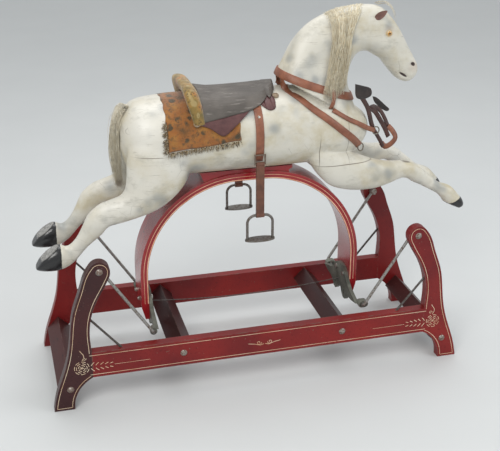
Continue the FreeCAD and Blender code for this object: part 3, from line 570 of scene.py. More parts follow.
def oval_ring(x, y, z, half_h, half_w, tilt, square=2.2, count=40):
    """Carved block section: middle, half height, half width, tilt of its plane, all in metres and degrees."""
    lean = math.radians(tilt)
    ring = []
    for k in range(count):
        a = 2 * math.pi * k / count
        c, s = math.cos(a), math.sin(a)
        up = half_h * math.copysign(abs(c) ** (2 / square), c)
        out = half_w * math.copysign(abs(s) ** (2 / square), s)
        ring.append((x + up * math.sin(lean), y + out, z + up * math.cos(lean)))
    return ring


belly_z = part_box("bow_block")[1][2]
# Sections in millimetres: x, y, z, half height, half width, tilt.
trunk_sections = [(x, 0, (low + high) / 2, (high - low) / 2, half_w, 0) for x, low, high, half_w in (
    (-333, 633, 690, 30), (-327, 606, 717, 58), (-312, 582, 740, 80), (-286, 566, 757, 97),
    (-235, 560, 764, 106), (-165, 560, 766, 108), (-80, 560, 762, 110), (0, 560, 763, 110),
    (80, 560, 765, 109), (150, 561, 760, 105), (215, 565, 745, 97), (262, 574, 722, 84),
    (296, 590, 702, 66), (316, 610, 686, 46), (326, 630, 668, 26))]
hind_sections = [
    (-232, 62, 664, 76, 40, -58), (-246, 68, 612, 84, 45, -66), (-262, 73, 560, 71, 42, -72),
    (-289, 75, 525, 53, 37, -60), (-325, 76, 506, 37, 31, -36), (-362, 76, 496, 33, 28, -14),
    (-392, 75, 487, 32, 25, -18), (-414, 75, 466, 31, 23, -34), (-432, 74, 442, 24, 20, -45),
    (-450, 74, 421, 19, 17, -46), (-466, 74, 404, 19, 17, -42), (-482, 74, 391, 23, 20, -24),
    (-497, 74, 387, 30, 24, -6), (-511, 74, 386, 34, 28, 4), (-530, 74, 384, 33, 29, 14),
    (-548, 74, 381, 28, 28, 24), (-562, 74, 376, 18, 24, 36)]
fore_sections = [
    (150, 60, 600, 22, 20, 0), (172, 66, 585, 42, 30, 0), (205, 70, 560, 50, 34, 0),
    (240, 72, 546, 50, 35, 0), (276, 74, 541, 51, 35, 0), (308, 75, 534, 45, 34, 0),
    (340, 75, 530, 38, 31, 0), (375, 75, 531, 30, 27, 2), (405, 75, 535, 24, 24, 6),
    (425, 75, 532, 22, 23, 14), (446, 75, 521, 22, 22, 28), (466, 75, 507, 20, 19, 37),
    (490, 75, 490, 17, 17, 37), (512, 75, 475, 15, 16, 35), (528, 75, 467, 17, 17, 34),
    (545, 75, 455, 21, 21, 42), (560, 75, 437, 22, 24, 56), (574, 75, 425, 20, 24, 60),
    (588, 75, 412, 13, 20, 60)]
crown_sections = [
    (189, 0, 736, 128, 82, -60), (191, 0, 780, 111, 64, -58), (195, 0, 823, 96, 51, -52),
    (218, 0, 866, 82, 44, -44), (257, 0, 897, 67, 39, -32), (304, 0, 906, 62, 37, -13),
    (345, 0, 897, 65, 38, 1), (365, 0, 884, 62, 38, 5), (384, 0, 862, 57, 35, 12),
    (403, 0, 836, 50, 30, 19), (419, 0, 812, 43, 26, 25), (436, 0, 792, 36, 24, 30),
    (450, 0, 778, 28, 22, 34), (459, 0, 771, 17, 15, 36)]


def carve(name, sections, side=1):
    rows = [(x * mm, y * side * mm, z * mm, h * mm, w * mm, math.radians(t))
            for x, y, z, h, w, t in sections]
    rings = [oval_ring(x, y, z, h, w, math.degrees(t)) for x, y, z, h, w, t in between(rows, 0.006)]
    verts, faces = skin_rings(rings)
    made = mesh_piece(name, verts, faces)
    data = bmesh.new()
    data.from_mesh(made.data)
    bmesh.ops.recalc_face_normals(data, faces=data.faces)
    data.to_mesh(made.data)
    data.free()
    return made


def join(pieces):
    """One mesh from several."""
    verts, faces = [], []
    for piece in pieces:
        start = len(verts)
        verts += [tuple(v.co) for v in piece.data.vertices]
        faces += [tuple(start + i for i in p.vertices) for p in piece.data.polygons]
    made = mesh_piece(pieces[0].name, verts, faces)
    for piece in pieces:
        data = piece.data
        bpy.data.objects.remove(piece)
        bpy.data.meshes.remove(data)
    return made


def settled(made):
    """Applies every modifier on a piece."""
    depsgraph = bpy.context.evaluated_depsgraph_get()
    data = bpy.data.meshes.new_from_object(made.evaluated_get(depsgraph))
    made.modifiers.clear()
    made.data = data
    return made


blocks = [carve("carved_horse", trunk_sections), carve("neck", crown_sections)]
for sections in (hind_sections, fore_sections):
    blocks += [carve("leg", sections, -1), carve("leg", sections, 1)]
horse = join(blocks)
horse.name = "carved_horse"
remesh = horse.modifiers.new("block", "REMESH")
remesh.mode = "VOXEL"
remesh.voxel_size = 0.0032
blend_joints = horse.modifiers.new("gesso", "SMOOTH")
blend_joints.factor = 0.5
blend_joints.iterations = 14
settled(horse)

# Gouge and rasp work on the joined blocks: where, how far it reaches along X, Y and Z, how much it
# raises (or cuts, below 0) in millimetres, and a turn about Y.  Each is made on both sides.
gouges = [
    ((368, 38, 895), (15, 12, 13), -3.5, 0),        # eye sockets
    ((372, 37, 912), (17, 10, 6), 4.0, 25),         # brows
    ((350, 40, 846), (30, 14, 30), 4.5, 0),         # cheeks
    ((372, 30, 800), (16, 12, 16), -3.0, 0),        # behind the jaw
    ((408, 26, 842), (26, 9, 8), -3.0, 55),         # along the nose
    ((447, 17, 805), (11, 8, 9), 3.5, 0),           # nostril rims
    ((445, 22, 806), (5.5, 9, 4.5), -8.0, 40),      # nostrils
    ((424, 24, 777), (14, 12, 2.6), -4.5, 27),      # mouth
    ((424, 20, 766), (12, 10, 7), 2.0, 25),         # lower lip
    ((330, 42, 800), (18, 12, 44), -3.5, 0),        # throat hollow
    ((215, 44, 868), (60, 14, 30), 2.0, 40),        # neck muscle
    ((225, 96, 640), (46, 24, 60), 4.0, 0),         # shoulders
    ((172, 104, 640), (22, 20, 70), -2.5, 0),       # behind the shoulder
    ((300, 0, 650), (34, 16, 60), -4.0, 0),         # breast groove
    ((-225, 104, 640), (60, 24, 60), 4.0, 0),       # haunches
    ((-150, 108, 600), (30, 22, 34), -3.5, 0),      # flanks
    ((-330, 0, 690), (24, 12, 60), -4.0, 0),        # under the tail
    ((-418, 75, 486), (13, 14, 11), 3.0, 0),        # hocks
    ((-402, 90, 470), (10, 8, 22), -1.5, 0),
    ((430, 75, 545), (13, 16, 9), 2.5, 0),          # knees
    ((446, 75, 500), (12, 12, 8), 1.5, 0),
    ((-470, 92, 408), (14, 5, 6), -1.5, 40),        # tendons
    ((490, 91, 492), (20, 5, 5), -1.5, -37),
]
data = bmesh.new()
data.from_mesh(horse.data)
data.verts.ensure_lookup_table()
points = np.array([v.co for v in data.verts])
normals = np.array([v.normal for v in data.verts])
for (x, y, z), reach, raise_mm, turn in gouges:
    for side in (-1, 1) if y else (1,):
        away = points - np.array((x, y * side, z)) * mm
        c, s = math.cos(math.radians(turn)), math.sin(math.radians(turn))
        local = np.stack([away[:, 0] * c - away[:, 2] * s, away[:, 1], away[:, 0] * s + away[:, 2] * c], 1)
        reached = np.exp(-((local / (np.array(reach) * mm)) ** 2).sum(1))
        points = points + normals * (reached * raise_mm * mm)[:, None]


def rasp_flat(points, at, facing, low, high):
    """Flattens what stands beyond a plane, inside a box: the soles of the hooves and the belly seat."""
    at, facing = np.array(at) * mm, np.array(facing) / np.linalg.norm(facing)
    beyond = (points - at) @ facing
    inside = np.all((points > np.array(low) * mm) & (points < np.array(high) * mm), 1)
    cut = np.where(inside & (beyond > 0), beyond, 0)
    return points - cut[:, None] * facing


points = rasp_flat(points, (-512, 0, 419), (-39, 0, 53), (-600, -200, 330), (-506, 200, 460))
points = rasp_flat(points, (529, 0, 434), (-31, 0, -66), (522, -200, 380), (620, 200, 470))
points = rasp_flat(points, (0, 0, belly_z / mm), (0, 0, -1), (-160, -48, 540), (140, 48, 600))
for vert, place in zip(data.verts, points):
    vert.co = place
bmesh.ops.smooth_vert(data, verts=data.verts, factor=0.3, use_axis_x=True, use_axis_y=True, use_axis_z=True)
data.to_mesh(horse.data)
data.free()
horse.data.polygons.foreach_set("use_smooth", [True] * len(horse.data.polygons))


def spot(tree, centre, radii, turn=0.0, edge=0.25):
    """Mask of an ellipsoid in the piece's own coordinates, the same on both sides of the horse."""
    where = node(tree, "ShaderNodeTexCoord").outputs["Object"]
    apart = node(tree, "ShaderNodeSeparateXYZ", Vector=where)
    sideways = math_node(tree, "ABSOLUTE", apart.outputs["Y"])
    mirrored = node(tree, "ShaderNodeCombineXYZ", X=apart.outputs["X"], Y=sideways, Z=apart.outputs["Z"])
    local = node(tree, "ShaderNodeMapping", {"vector_type": "TEXTURE"}, Vector=mirrored.outputs["Vector"],
                 Location=tuple(c * mm for c in centre), Rotation=(0.0, math.radians(turn), 0.0),
                 Scale=tuple(r * mm for r in radii))
    length = node(tree, "ShaderNodeVectorMath", {"operation": "LENGTH"}, in0=local.outputs["Vector"])
    return mask(tree, length.outputs["Value"], 1.0 + edge, 1.0 - edge)


def beyond(tree, at, facing, soft=0.4):
    """Mask of what lies past a plane, with a slightly wavering line."""
    where = node(tree, "ShaderNodeTexCoord").outputs["Object"]
    length = math.hypot(*facing)
    facing = tuple(f / length for f in facing)
    reach = node(tree, "ShaderNodeVectorMath", {"operation": "DOT_PRODUCT"}, in0=where, in1=facing)
    waver = math_node(tree, "MULTIPLY", math_node(tree, "SUBTRACT", noise(tree, where, 90.0), 0.5), 0.004)
    start = sum(a * f for a, f in zip(at, facing)) * mm
    return mask(tree, math_node(tree, "ADD", reach.outputs["Value"], waver),
                start - soft * mm, start + soft * mm)


def both(tree, first, second):
    return math_node(tree, "MULTIPLY", first, second)


def either(tree, first, second):
    return math_node(tree, "MAXIMUM", first, second)


dapple, tree, shader = new_material("dapple_grey_paint", roughness=0.42)
where = place_of(tree)
wobble = node(tree, "ShaderNodeTexNoise", Vector=where, Scale=14.0, Detail=2.0)
bent = node(tree, "ShaderNodeVectorMath", {"operation": "MULTIPLY_ADD"}, in0=wobble.outputs["Color"],
            in1=(0.03, 0.03, 0.03), in2=where).outputs["Vector"]
cells = node(tree, "ShaderNodeTexVoronoi", {"feature": "SMOOTH_F1"}, Vector=bent, Scale=20.0)
blot = mask(tree, cells.outputs["Distance"], 0.48, 0.10)
where_dappled = mask(tree, noise(tree, where, 7.0, 3.0), 0.44, 0.62)
dapples = math_node(tree, "MULTIPLY", both(tree, blot, where_dappled), 0.85)
yellow = mask(tree, noise(tree, where, 10.0, 5.0, 0.62), 0.42, 0.70)
base = mix(tree, yellow, (0.62, 0.595, 0.52), (0.50, 0.44, 0.30))
pale = mix(tree, mask(tree, noise(tree, where, 4.5, 2.0), 0.5, 0.75), base, (0.67, 0.65, 0.59))
grimy = mask(tree, noise(tree, place_of(tree, scale=(0.6, 1.0, 1.0)), 26.0, 6.0, 0.7), 0.50, 0.70)
grimed = mix(tree, math_node(tree, "MULTIPLY", grimy, 0.5), pale, (0.37, 0.355, 0.30))
painted = mix(tree, dapples, grimed, (0.29, 0.30, 0.29))
# Fine age cracks and the open glue joints between the blocks.
crack_cells = node(tree, "ShaderNodeTexVoronoi", {"feature": "DISTANCE_TO_EDGE"}, Vector=bent, Scale=26.0)
crack_patches = mask(tree, noise(tree, where, 9.0, 2.0), 0.56, 0.68)
fine_grain = noise(tree, place_of(tree, scale=(0.35, 1.0, 9.0)), 46.0, 3.0, 0.6)
grain_checks = both(tree, mask(tree, fine_grain, 0.63, 0.67),
                    mask(tree, noise(tree, where, 6.0, 3.0), 0.46, 0.60))
cracks = both(tree, mask(tree, crack_cells.outputs["Distance"], 0.012, 0.003), crack_patches)
joints = spot(tree, (240, 92, 573), (88, 60, 1.1), -1.5, 0.5)
for seam in (((170, 95, 610), (1.0, 60, 42), 0), ((-268, 95, 640), (38, 60, 0.9), 2),
             ((-150, 100, 643), (2.4, 60, 2.4), 0),
             ((420, 80, 556), (12, 40, 0.9), 10), ((250, 90, 640), (0.7, 60, 62), 0)):
    joints = either(tree, joints, spot(tree, *seam, edge=0.5))
lines = either(tree, math_node(tree, "MULTIPLY", cracks, 0.55), math_node(tree, "MULTIPLY", joints, 0.8))
lines = either(tree, lines, math_node(tree, "MULTIPLY", grain_checks, 0.35))
aged = mix(tree, lines, painted, (0.11, 0.085, 0.055))
# Scuffed spots down to the dark wood.
scuffs = mask(tree, noise(tree, where, 55.0, 6.0, 0.8), 0.725, 0.76)
aged = mix(tree, scuffs, aged, (0.20, 0.15, 0.10))
# Painted shade: near black in the nostrils and the mouth slit, where the gouges cut deep.
painted_shade_nostrils_mouth = either(tree, spot(tree, (447, 22, 806), (6.0, 14, 4.8), 40),
                 spot(tree, (421, 24, 779), (13.5, 18, 3.2), 33))
# Painted shade: a darker brown tone in the eye sockets and round the muzzle.
painted_shade_eyes_muzzle = math_node(tree, "MULTIPLY", either(tree, spot(tree, (452, 20, 800), (16, 22, 14), 0, 0.7),
                                            spot(tree, (372, 40, 900), (15, 12, 13), 0, 0.7)), 0.25)
face = mix(tree, painted_shade_eyes_muzzle, aged, (0.50, 0.33, 0.26))
face = mix(tree, spot(tree, (369, 38, 895), (10, 14, 9), 0, 0.2), face, (0.52, 0.38, 0.17))
face = mix(tree, painted_shade_nostrils_mouth, face, (0.030, 0.012, 0.010))
hind_hoof = beyond(tree, (-505.5, 0, 390), (-1, 0, 0.02))
fore_hoof = beyond(tree, (552, 0, 428), (14, 0, -31))
black = either(tree, hind_hoof, both(tree, fore_hoof, beyond(tree, (500, 0, 400), (1, 0, 0))))
hooved = mix(tree, black, face, (0.012, 0.012, 0.013))
hind_sole = both(tree, beyond(tree, (-513, 0, 416.5), (-39, 0, 53), 0.8), hind_hoof)
grey_sole = ramp(tree, noise(tree, place_of(tree, scale=(1, 1, 1)), 130.0, 5.0, 0.7),
                 (0.35, (0.10, 0.095, 0.085)), (0.65, (0.36, 0.35, 0.33)))
fore_sole = both(tree, beyond(tree, (529, 0, 436), (-31, 0, -66), 0.8),
                 beyond(tree, (500, 0, 400), (1, 0, 0)))
final = mix(tree, either(tree, hind_sole, fore_sole), hooved, grey_sole)
gloss = ramp(tree, black, (0.0, (0.42, 0.42, 0.42)), (1.0, (0.2, 0.2, 0.2)))
brushed = noise(tree, place_of(tree, scale=(1.0, 1.0, 4.0)), 60.0, 4.0)
uneven = math_node(tree, "SUBTRACT", brushed, math_node(tree, "MULTIPLY", lines, 1.2))
feed(tree, shader, Base_Color=final, Roughness=gloss, Normal=bump(tree, uneven, 0.0009, 0.45))
shader.inputs["Coat Weight"].default_value = 0.2
shader.inputs["Coat Roughness"].default_value = 0.35
horse.data.materials.clear()
horse.data.materials.append(dapple)
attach(horse, "horse")
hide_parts("horse_trunk", "horse_neck_and_head", "right_foreleg", "left_foreleg",
            "right_hind_leg", "left_hind_leg")

# ---- Glass eyes ----
# Blown glass balls set in the sockets: amber iris, black pupil, clear gloss.
eye_glass, tree, shader = new_material("amber_glass_eye", roughness=0.04)
eye_low, eye_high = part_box("glass_eyes")
eye_middle = ((eye_low[0] + eye_high[0]) / 2 / mm, eye_high[1] / mm - 1.0,
              (eye_low[2] + eye_high[2]) / 2 / mm)
pupil = spot(tree, eye_middle, (2.6, 5, 2.3), 0, 0.12)
iris = spot(tree, eye_middle, (6.2, 7, 5.8), 0, 0.1)
rim = mix(tree, iris, (0.62, 0.52, 0.36), (0.50, 0.24, 0.035))
feed(tree, shader, Base_Color=mix(tree, pupil, rim, (0.006, 0.004, 0.003)))
shader.inputs["Coat Weight"].default_value = 1.0
dress("glass_eyes", eye_glass)

# ---- Ears ----
# Two leaves of hide, folded back and nailed on behind the brow: gesso outside, bare brown within.


def leather(name, dark, light, roughness, grain=420.0, edge=(0.05, 0.02, 0.012), worn_width=0.0012):
    """Dyed hide: mottled colour, pebbled grain, creases, and darker rubbed edges."""
    made, tree, shader = new_material(name, roughness=roughness)
    where = place_of(tree)
    mottle = noise(tree, where, 38.0, 5.0, 0.65)
    pebbles = node(tree, "ShaderNodeTexVoronoi", Vector=where, Scale=grain)
    creases = noise(tree, place_of(tree, scale=(1.0, 1.0, 5.0)), 90.0, 4.0)
    tone = ramp(tree, mottle, (0.3, dark), (0.7, light))
    rubbed = mix(tree, worn(tree, worn_width, 160.0), tone, edge)
    height = math_node(tree, "ADD", pebbles.outputs["Distance"], math_node(tree, "MULTIPLY", creases, 1.4))
    feed(tree, shader, Base_Color=rubbed, Normal=bump(tree, height, 0.0005, 0.5),
         Roughness=ramp(tree, mottle, (0.3, (roughness * 0.8,) * 3),
                        (0.7, (min(1.0, roughness * 1.25),) * 3)))
    return made


ear_hide = leather("ear_hide", (0.55, 0.50, 0.42), (0.74, 0.70, 0.62), 0.5, edge=(0.30, 0.20, 0.14))
ear_lining = leather("ear_lining", (0.12, 0.055, 0.045), (0.26, 0.13, 0.10), 0.6)


def ear(side):
    """Leaf from its root (behind) to its tip (forward and up), hollow towards the side."""
    rings = []
    for t, wide, deep in ((0.0, 0.5, 0.6), (0.14, 0.86, 1.0), (0.32, 1.0, 1.0), (0.52, 0.92, 0.9),
                          (0.72, 0.68, 0.6),
                          (0.88, 0.36, 0.3), (1.0, 0.06, 0.05)):
        middle = Vector((329 + 31 * t, side * (34 + 4 * t), 935 + 19 * t)) * mm
        across = Vector((-0.55, side * 0.12, 0.83))
        outward = Vector((0.1, side, 0.14)).normalized()
        ring = []
        for k in range(12):
            a = 2 * math.pi * k / 12
            lip = math.cos(a) * 11.0 * wide * mm
            back = (-4.0 if math.sin(a) < 0 else -1.4) * abs(math.sin(a)) * deep * mm
            cup = 0.30 * (math.cos(a) * wide) ** 2 * 11.0 * mm
            ring.append(middle + across * lip + outward * (back + cup))
        rings.append(ring)
    verts, faces = skin_rings(rings)
    made = mesh_piece("ear_right" if side < 0 else "ear_left", verts, faces, ear_hide, ear_lining)
    for polygon in made.data.polygons:
        inside = [v for v in polygon.vertices if v % 12 <= 6]
        polygon.material_index = 1 if len(inside) == len(polygon.vertices) else 0
    rounded = made.modifiers.new("rounded", "SUBSURF")
    rounded.levels = rounded.render_levels = 2
    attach(made, "horse")
    return made


for made in (ear(-1), ear(1)):
    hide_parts("ears")

# ---- Mane, forelock and tail ----
# Horsehair, nailed along the crest and plugged into the rump.  The mane has worn down to one hank
# on the right side of the neck.
skin = BVHTree.FromPolygons([v.co for v in horse.data.vertices],
                            [tuple(p.vertices) for p in horse.data.polygons])


def beside(x, z, side=-1, lift=0.0):
    """Where a level line from the side meets the horse, in millimetres, with its outward direction."""
    start = Vector((x, side * 300, z)) * mm
    place, outward = skin.ray_cast(start, Vector((0, -side, 0)), 0.3)[:2]
    if place is None:
        place, outward = skin.find_nearest(Vector((x, side * 30, z)) * mm)[:2]
    return place + outward * lift * mm, outward


def hair_colour(name, *tones):
    made, tree, shader = new_material(name, roughness=0.45)
    streak = noise(tree, place_of(tree, scale=(3.0, 3.0, 0.35)), 120.0, 4.0, 0.7)
    stops = [(0.28 + 0.44 * k / (len(tones) - 1), tone) for k, tone in enumerate(tones)]
    feed(tree, shader, Base_Color=ramp(tree, streak, *stops))
    shader.inputs["Sheen Weight"].default_value = 0.25
    return made


mane_colour = hair_colour("blond_horsehair", (0.36, 0.25, 0.12), (0.66, 0.56, 0.37),
                          (0.78, 0.72, 0.56), (0.82, 0.79, 0.68))
tail_colour = hair_colour("grey_cream_horsehair", (0.40, 0.33, 0.22), (0.70, 0.64, 0.50), (0.82, 0.79, 0.69))


three_sides = (0.0, 2.094, 4.189)


def strands(name, guides, count, thick, spread, seed, *materials, wave=1.5):
    """Tapered hairs between neighbouring guide lines, given in millimetres from root to tip."""
    chance = random.Random(seed)
    lines = [between(guide, 12.0) for guide in guides]
    steps = 12
    shares = [k / (steps - 1) for k in range(steps)]
    lines = [np.array([line[int(round(t * (len(line) - 1)))] for t in shares]) for line in lines]
    verts, faces = [], []
    for _ in range(count):
        t = chance.random() * (len(lines) - 1)
        k = min(int(t), len(lines) - 2)
        line = lines[k] * (1 - (t - k)) + lines[k + 1] * (t - k)
        shift = np.array([chance.gauss(0, 1) for _ in range(3)]) * spread
        phase, swing = chance.random() * 6.3, chance.gauss(0, 1) * wave
        length = 1.0 - 0.3 * chance.random() ** 2
        rings = []
        for i in range(steps):
            f = i / (steps - 1)
            at = f * length * (steps - 1)
            low = min(int(at), steps - 2)
            point = line[low] * (1 - at + low) + line[low + 1] * (at - low)
            sway = np.array((math.sin(phase + 7 * f), math.cos(phase + 5 * f), 0)) * swing
            point = point + shift * (0.35 + 0.65 * f) + sway
            radius = thick * (1.0 - 0.75 * f) * (0.7 + 0.6 * (k % 2))
            rings.append([(point + np.array((math.cos(a), math.sin(a), 0.25 * math.sin(a))) * radius) * mm
                          for a in three_sides])
        start = len(verts)
        made_verts, made_faces = skin_rings(rings)
        verts += made_verts
        faces += [tuple(start + i for i in face) for face in made_faces]
    return mesh_piece(name, verts, faces, *materials)


def laid(lines, root_y, lifts):
    """Guide lines down the right side: the first point is on the crest, the rest lie on the skin."""
    made = []
    for line in lines:
        points = [(line[0][0], root_y, line[0][1])]
        for (x, z), lift in zip(line[1:], lifts):
            place, _ = beside(x, z, -1, lift)
            points.append(tuple(place / mm))
        made.append(points)
    return made


mane_lines = [
    [(206, 951), (212, 935), (216, 905), (212, 872), (205, 836), (196, 800), (182, 764), (186, 735)],
    [(224, 957), (230, 938), (232, 905), (228, 872), (220, 836), (210, 800), (199, 766), (200, 738)],
    [(246, 962), (246, 938), (246, 905), (243, 872), (236, 836), (226, 800), (214, 768), (214, 742)],
    [(270, 965), (260, 938), (257, 905), (254, 872), (250, 836), (242, 800), (231, 774), (229, 750)],
    [(300, 968), (282, 945), (268, 915), (260, 882), (257, 845), (251, 808), (242, 782), (240, 762)]]
mane = strands("mane", laid(mane_lines, -3, (3, 4, 5, 6, 7, 8, 9)), 700, 0.8, 2.4, 11, mane_colour, wave=3.0)
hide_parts("mane")
forelock = strands("forelock", [[(340, -4, 968), (360, -8, 972), (380, -10, 962), (402, -8, 934)],
                                [(340, 6, 968), (362, 4, 971), (384, 2, 957), (398, 0, 925)],
                                [(345, -12, 964), (366, -16, 965), (384, -24, 948), (390, -24, 915)]],
                   22, 0.5, 1.6, 13, mane_colour)
tail_lines = []
for y in (-13, -4, 4, 13):
    tail_lines.append([(-302, y * 0.5, 742), (-322, y * 0.7, 750), (-340, y, 730), (-351, y, 696),
                       (-355, y * 1.1, 650), (-353, y * 1.1, 600), (-348, y, 562), (-343, y * 0.6, 530)])
    tail_lines.append([(-302, y * 0.5, 734), (-316, y * 0.7, 736), (-328, y, 712), (-334, y, 680),
                       (-336, y * 1.1, 640), (-336, y * 1.1, 596), (-335, y, 560), (-334, y * 0.6, 536)])
tail_hair = strands("tail", tail_lines, 560, 0.9, 3.0, 14, tail_colour, wave=2.2)
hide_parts("tail")
for made, its_slot in ((mane, "mane_hair"), (forelock, "mane_hair"), (tail_hair, "tail_hair")):
    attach(made, "horse")

# ---- Saddle cloth ----
# A strip of patterned carpet laid over the back, its rear and lower edges frayed to a fringe.
barrel_z = 665.0


def around(x, angle, lift=0.0):
    """Where a ray from the middle of the trunk leaves it; the angle is from straight up to the right."""
    ray = Vector((0, -math.sin(math.radians(angle)), math.cos(math.radians(angle))))
    start = Vector((x, 0, barrel_z)) * mm + ray * 0.3
    place, outward = skin.ray_cast(start, -ray)[:2]
    return place + outward * lift * mm, outward


def angle_of(x, z):
    """The angle of the right side's skin at a height."""
    place, _ = beside(x, z)
    return math.degrees(math.atan2(-place.y / mm, z - barrel_z))


carpet, tree, shader = new_material("patterned_carpet", roughness=0.95)
where = place_of(tree)
drift = node(tree, "ShaderNodeTexNoise", Vector=where, Scale=30.0, Detail=3.0)
shifted = node(tree, "ShaderNodeVectorMath", {"operation": "MULTIPLY_ADD"}, in0=drift.outputs["Color"],
               in1=(0.02, 0.02, 0.02), in2=where).outputs["Vector"]
leaves = node(tree, "ShaderNodeTexVoronoi", Vector=shifted, Scale=46.0)
ground = ramp(tree, noise(tree, where, 22.0, 4.0), (0.3, (0.085, 0.045, 0.012)),
              (0.5, (0.32, 0.11, 0.018)), (0.72, (0.40, 0.19, 0.035)))
dark_figure = mask(tree, leaves.outputs["Distance"], 0.46, 0.26)
worn_figure = both(tree, dark_figure, mask(tree, noise(tree, where, 34.0, 3.0), 0.40, 0.50))
mottled = math_node(tree, "MULTIPLY", mask(tree, noise(tree, where, 75.0, 5.0, 0.7), 0.50, 0.62), 0.6)
patterned = mix(tree, either(tree, mottled, worn_figure), ground, (0.055, 0.04, 0.018))
pile = noise(tree, where, 700.0, 3.0, 0.8)
tufted = mix(tree, mask(tree, pile, 0.52, 0.68), patterned, (0.20, 0.11, 0.045))
feed(tree, shader, Base_Color=tufted, Normal=bump(tree, pile, 0.0016, 1.0))
shader.inputs["Sheen Weight"].default_value = 0.4

rear_x, front_x = -228.0, -43.0
rear_low, front_low = 650.0, 666.0
across_count, along_count = 84, 36
chance = random.Random(21)
rings, lengths = [], []
for i in range(along_count + 1):
    t = i / along_count
    x = rear_x + (front_x - rear_x) * t
    low_angle = angle_of(x, rear_low + (front_low - rear_low) * t + 1.5 * math.sin(9 * t))
    ring = []
    for j in range(across_count + 1):
        angle = low_angle * (1 - 2 * j / across_count)
        ripple = 0.7 + 0.5 * math.sin(0.11 * x + 0.05 * angle) * abs(angle / low_angle)
        edge_waver = 1.2 * math.sin(0.3 * angle) if i in (0, along_count) else 0
        ring.append(around(x + edge_waver, angle, ripple)[0])
    rings.append(ring)
    lengths.append(sum((b - a).length for a, b in zip(ring[:-1], ring[1:])))
verts, faces = skin_rings(rings, close_round=False, cap=False)
cloth = mesh_piece("saddle_cloth", verts, faces, carpet)
thickened = cloth.modifiers.new("pile", "SOLIDIFY")
thickened.thickness = 0.0032
thickened.offset = 1.0
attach(cloth, "horse")
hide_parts("saddle_cloth")


edge_threads, rear_threads = 230, 130
under_roll_z = 722


def fringe_threads():
    """Short frayed threads along both lower edges and the rear edge below the seat."""
    verts, faces = [], []
    spots = []
    for side in (1, -1):
        for _ in range(edge_threads):
            t = chance.random()
            x = rear_x + (front_x - rear_x) * t
            spots.append((x, side * angle_of(x, rear_low + (front_low - rear_low) * t),
                          0.35 * chance.gauss(0, 1), -1))
        for _ in range(rear_threads):
            z = rear_low + (under_roll_z - rear_low) * chance.random()
            spots.append((rear_x + 1, side * angle_of(rear_x, z), -1.0, 0.35 * chance.gauss(0, 1) - 0.15))
    for x, angle, lean, fall in spots:
        start, outward = around(x, angle, 2.6)
        down = Vector((lean, 0, fall)).normalized()
        length = chance.uniform(7.0, 16.0)
        line = []
        for i in range(5):
            f = i / 4
            place = start + down * length * f * mm + Vector((0, 0, -1)) * 2.0 * f * f * mm
            curl = Vector((chance.gauss(0, 0.5), 0, 0)) * f * mm
            line.append(place + outward * (0.8 * math.sin(3 * f)) * mm + curl)
        rings = [[p + Vector((math.cos(a), math.sin(a) * 0.6, math.sin(a))) * 0.65 * (1.1 - 0.7 * i / 4) * mm
                  for a in three_sides] for i, p in enumerate(line)]
        base = len(verts)
        made_verts, made_faces = skin_rings(rings)
        verts += made_verts
        faces += [tuple(base + i for i in face) for face in made_faces]
    return verts, faces


frayed, tree, shader = new_material("frayed_carpet_thread", roughness=0.95)
threads = noise(tree, place_of(tree), 330.0, 2.0)
feed(tree, shader, Base_Color=ramp(tree, threads, (0.36, (0.045, 0.035, 0.02)),
                                   (0.5, (0.22, 0.15, 0.08)), (0.66, (0.52, 0.43, 0.28))))
verts, faces = fringe_threads()
fringe = mesh_piece("saddle_cloth_fringe", verts, faces, frayed)
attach(fringe, "horse")

# ---- Cantle roll ----
# A stuffed roll, covered in faded ochre floral cloth, nailed across the back behind the seat.
floral, tree, shader = new_material("floral_cloth", roughness=0.9)
where = place_of(tree)
flowers = node(tree, "ShaderNodeTexVoronoi", {"feature": "SMOOTH_F1"},
               Vector=place_of(tree, scale=(1.0, 1.0, 0.6)), Scale=62.0)
petals = node(tree, "ShaderNodeTexVoronoi", Vector=where, Scale=170.0)
ground = ramp(tree, noise(tree, where, 28.0, 4.0, 0.6), (0.30, (0.13, 0.10, 0.03)),
              (0.5, (0.28, 0.175, 0.045)), (0.68, (0.40, 0.14, 0.02)))
bloom = mask(tree, flowers.outputs["Distance"], 0.34, 0.2)
printed = mix(tree, math_node(tree, "MULTIPLY", bloom, 0.5), ground, (0.46, 0.36, 0.17))
veins = both(tree, mask(tree, petals.outputs["Distance"], 0.50, 0.25),
             mask(tree, noise(tree, where, 45.0, 4.0), 0.46, 0.56))
printed = mix(tree, math_node(tree, "MULTIPLY", veins, 0.85), printed, (0.085, 0.05, 0.02))
weave = noise(tree, place_of(tree, scale=(1.0, 1.0, 2.0)), 950.0, 2.0)
feed(tree, shader, Base_Color=printed, Normal=bump(tree, math_node(tree, "ADD", weave, bloom), 0.0007, 0.8))
shader.inputs["Sheen Weight"].default_value = 0.3

rings = []
turns, roll_sides = 56, 20
roll_angle, roll_height = 66.0, 64.0
for i in range(turns + 1):
    f = i / turns
    angle = roll_angle * (1 - 2 * f)
    near_side = abs(angle) / roll_angle
    rise = 37.0 + 18.0 * math.exp(-((abs(angle) - 36.0) / 16.0) ** 2)
    rise *= math.sqrt(max(1 - near_side ** 5, 0.0)) * (1 - 0.55 * near_side ** 2)
    rise = max(rise, 5.0)
    half = 13.0 + 8.0 * (rise / roll_height)
    foot_x = -158.0 + 9.0 * near_side
    ring = []
    for k in range(roll_sides):
        a = 2 * math.pi * k / roll_sides
        u = math.copysign(abs(math.cos(a)) ** 0.75, math.cos(a)) * half
        v = 0.5 * rise * (1 + math.copysign(abs(math.sin(a)) ** 0.8, math.sin(a)))
        lean = -0.36 * v
        pucker = 0.7 * math.sin(i * 1.9) * (v / roll_height)
        place, _ = around(foot_x, angle, 3.6)
        ray = Vector((0, -math.sin(math.radians(angle)), math.cos(math.radians(angle))))
        ring.append(place + ray * (v + pucker - 1.0) * mm + Vector((u + lean + 4, 0, 0)) * mm)
    rings.append(ring)
verts, faces = skin_rings(rings)
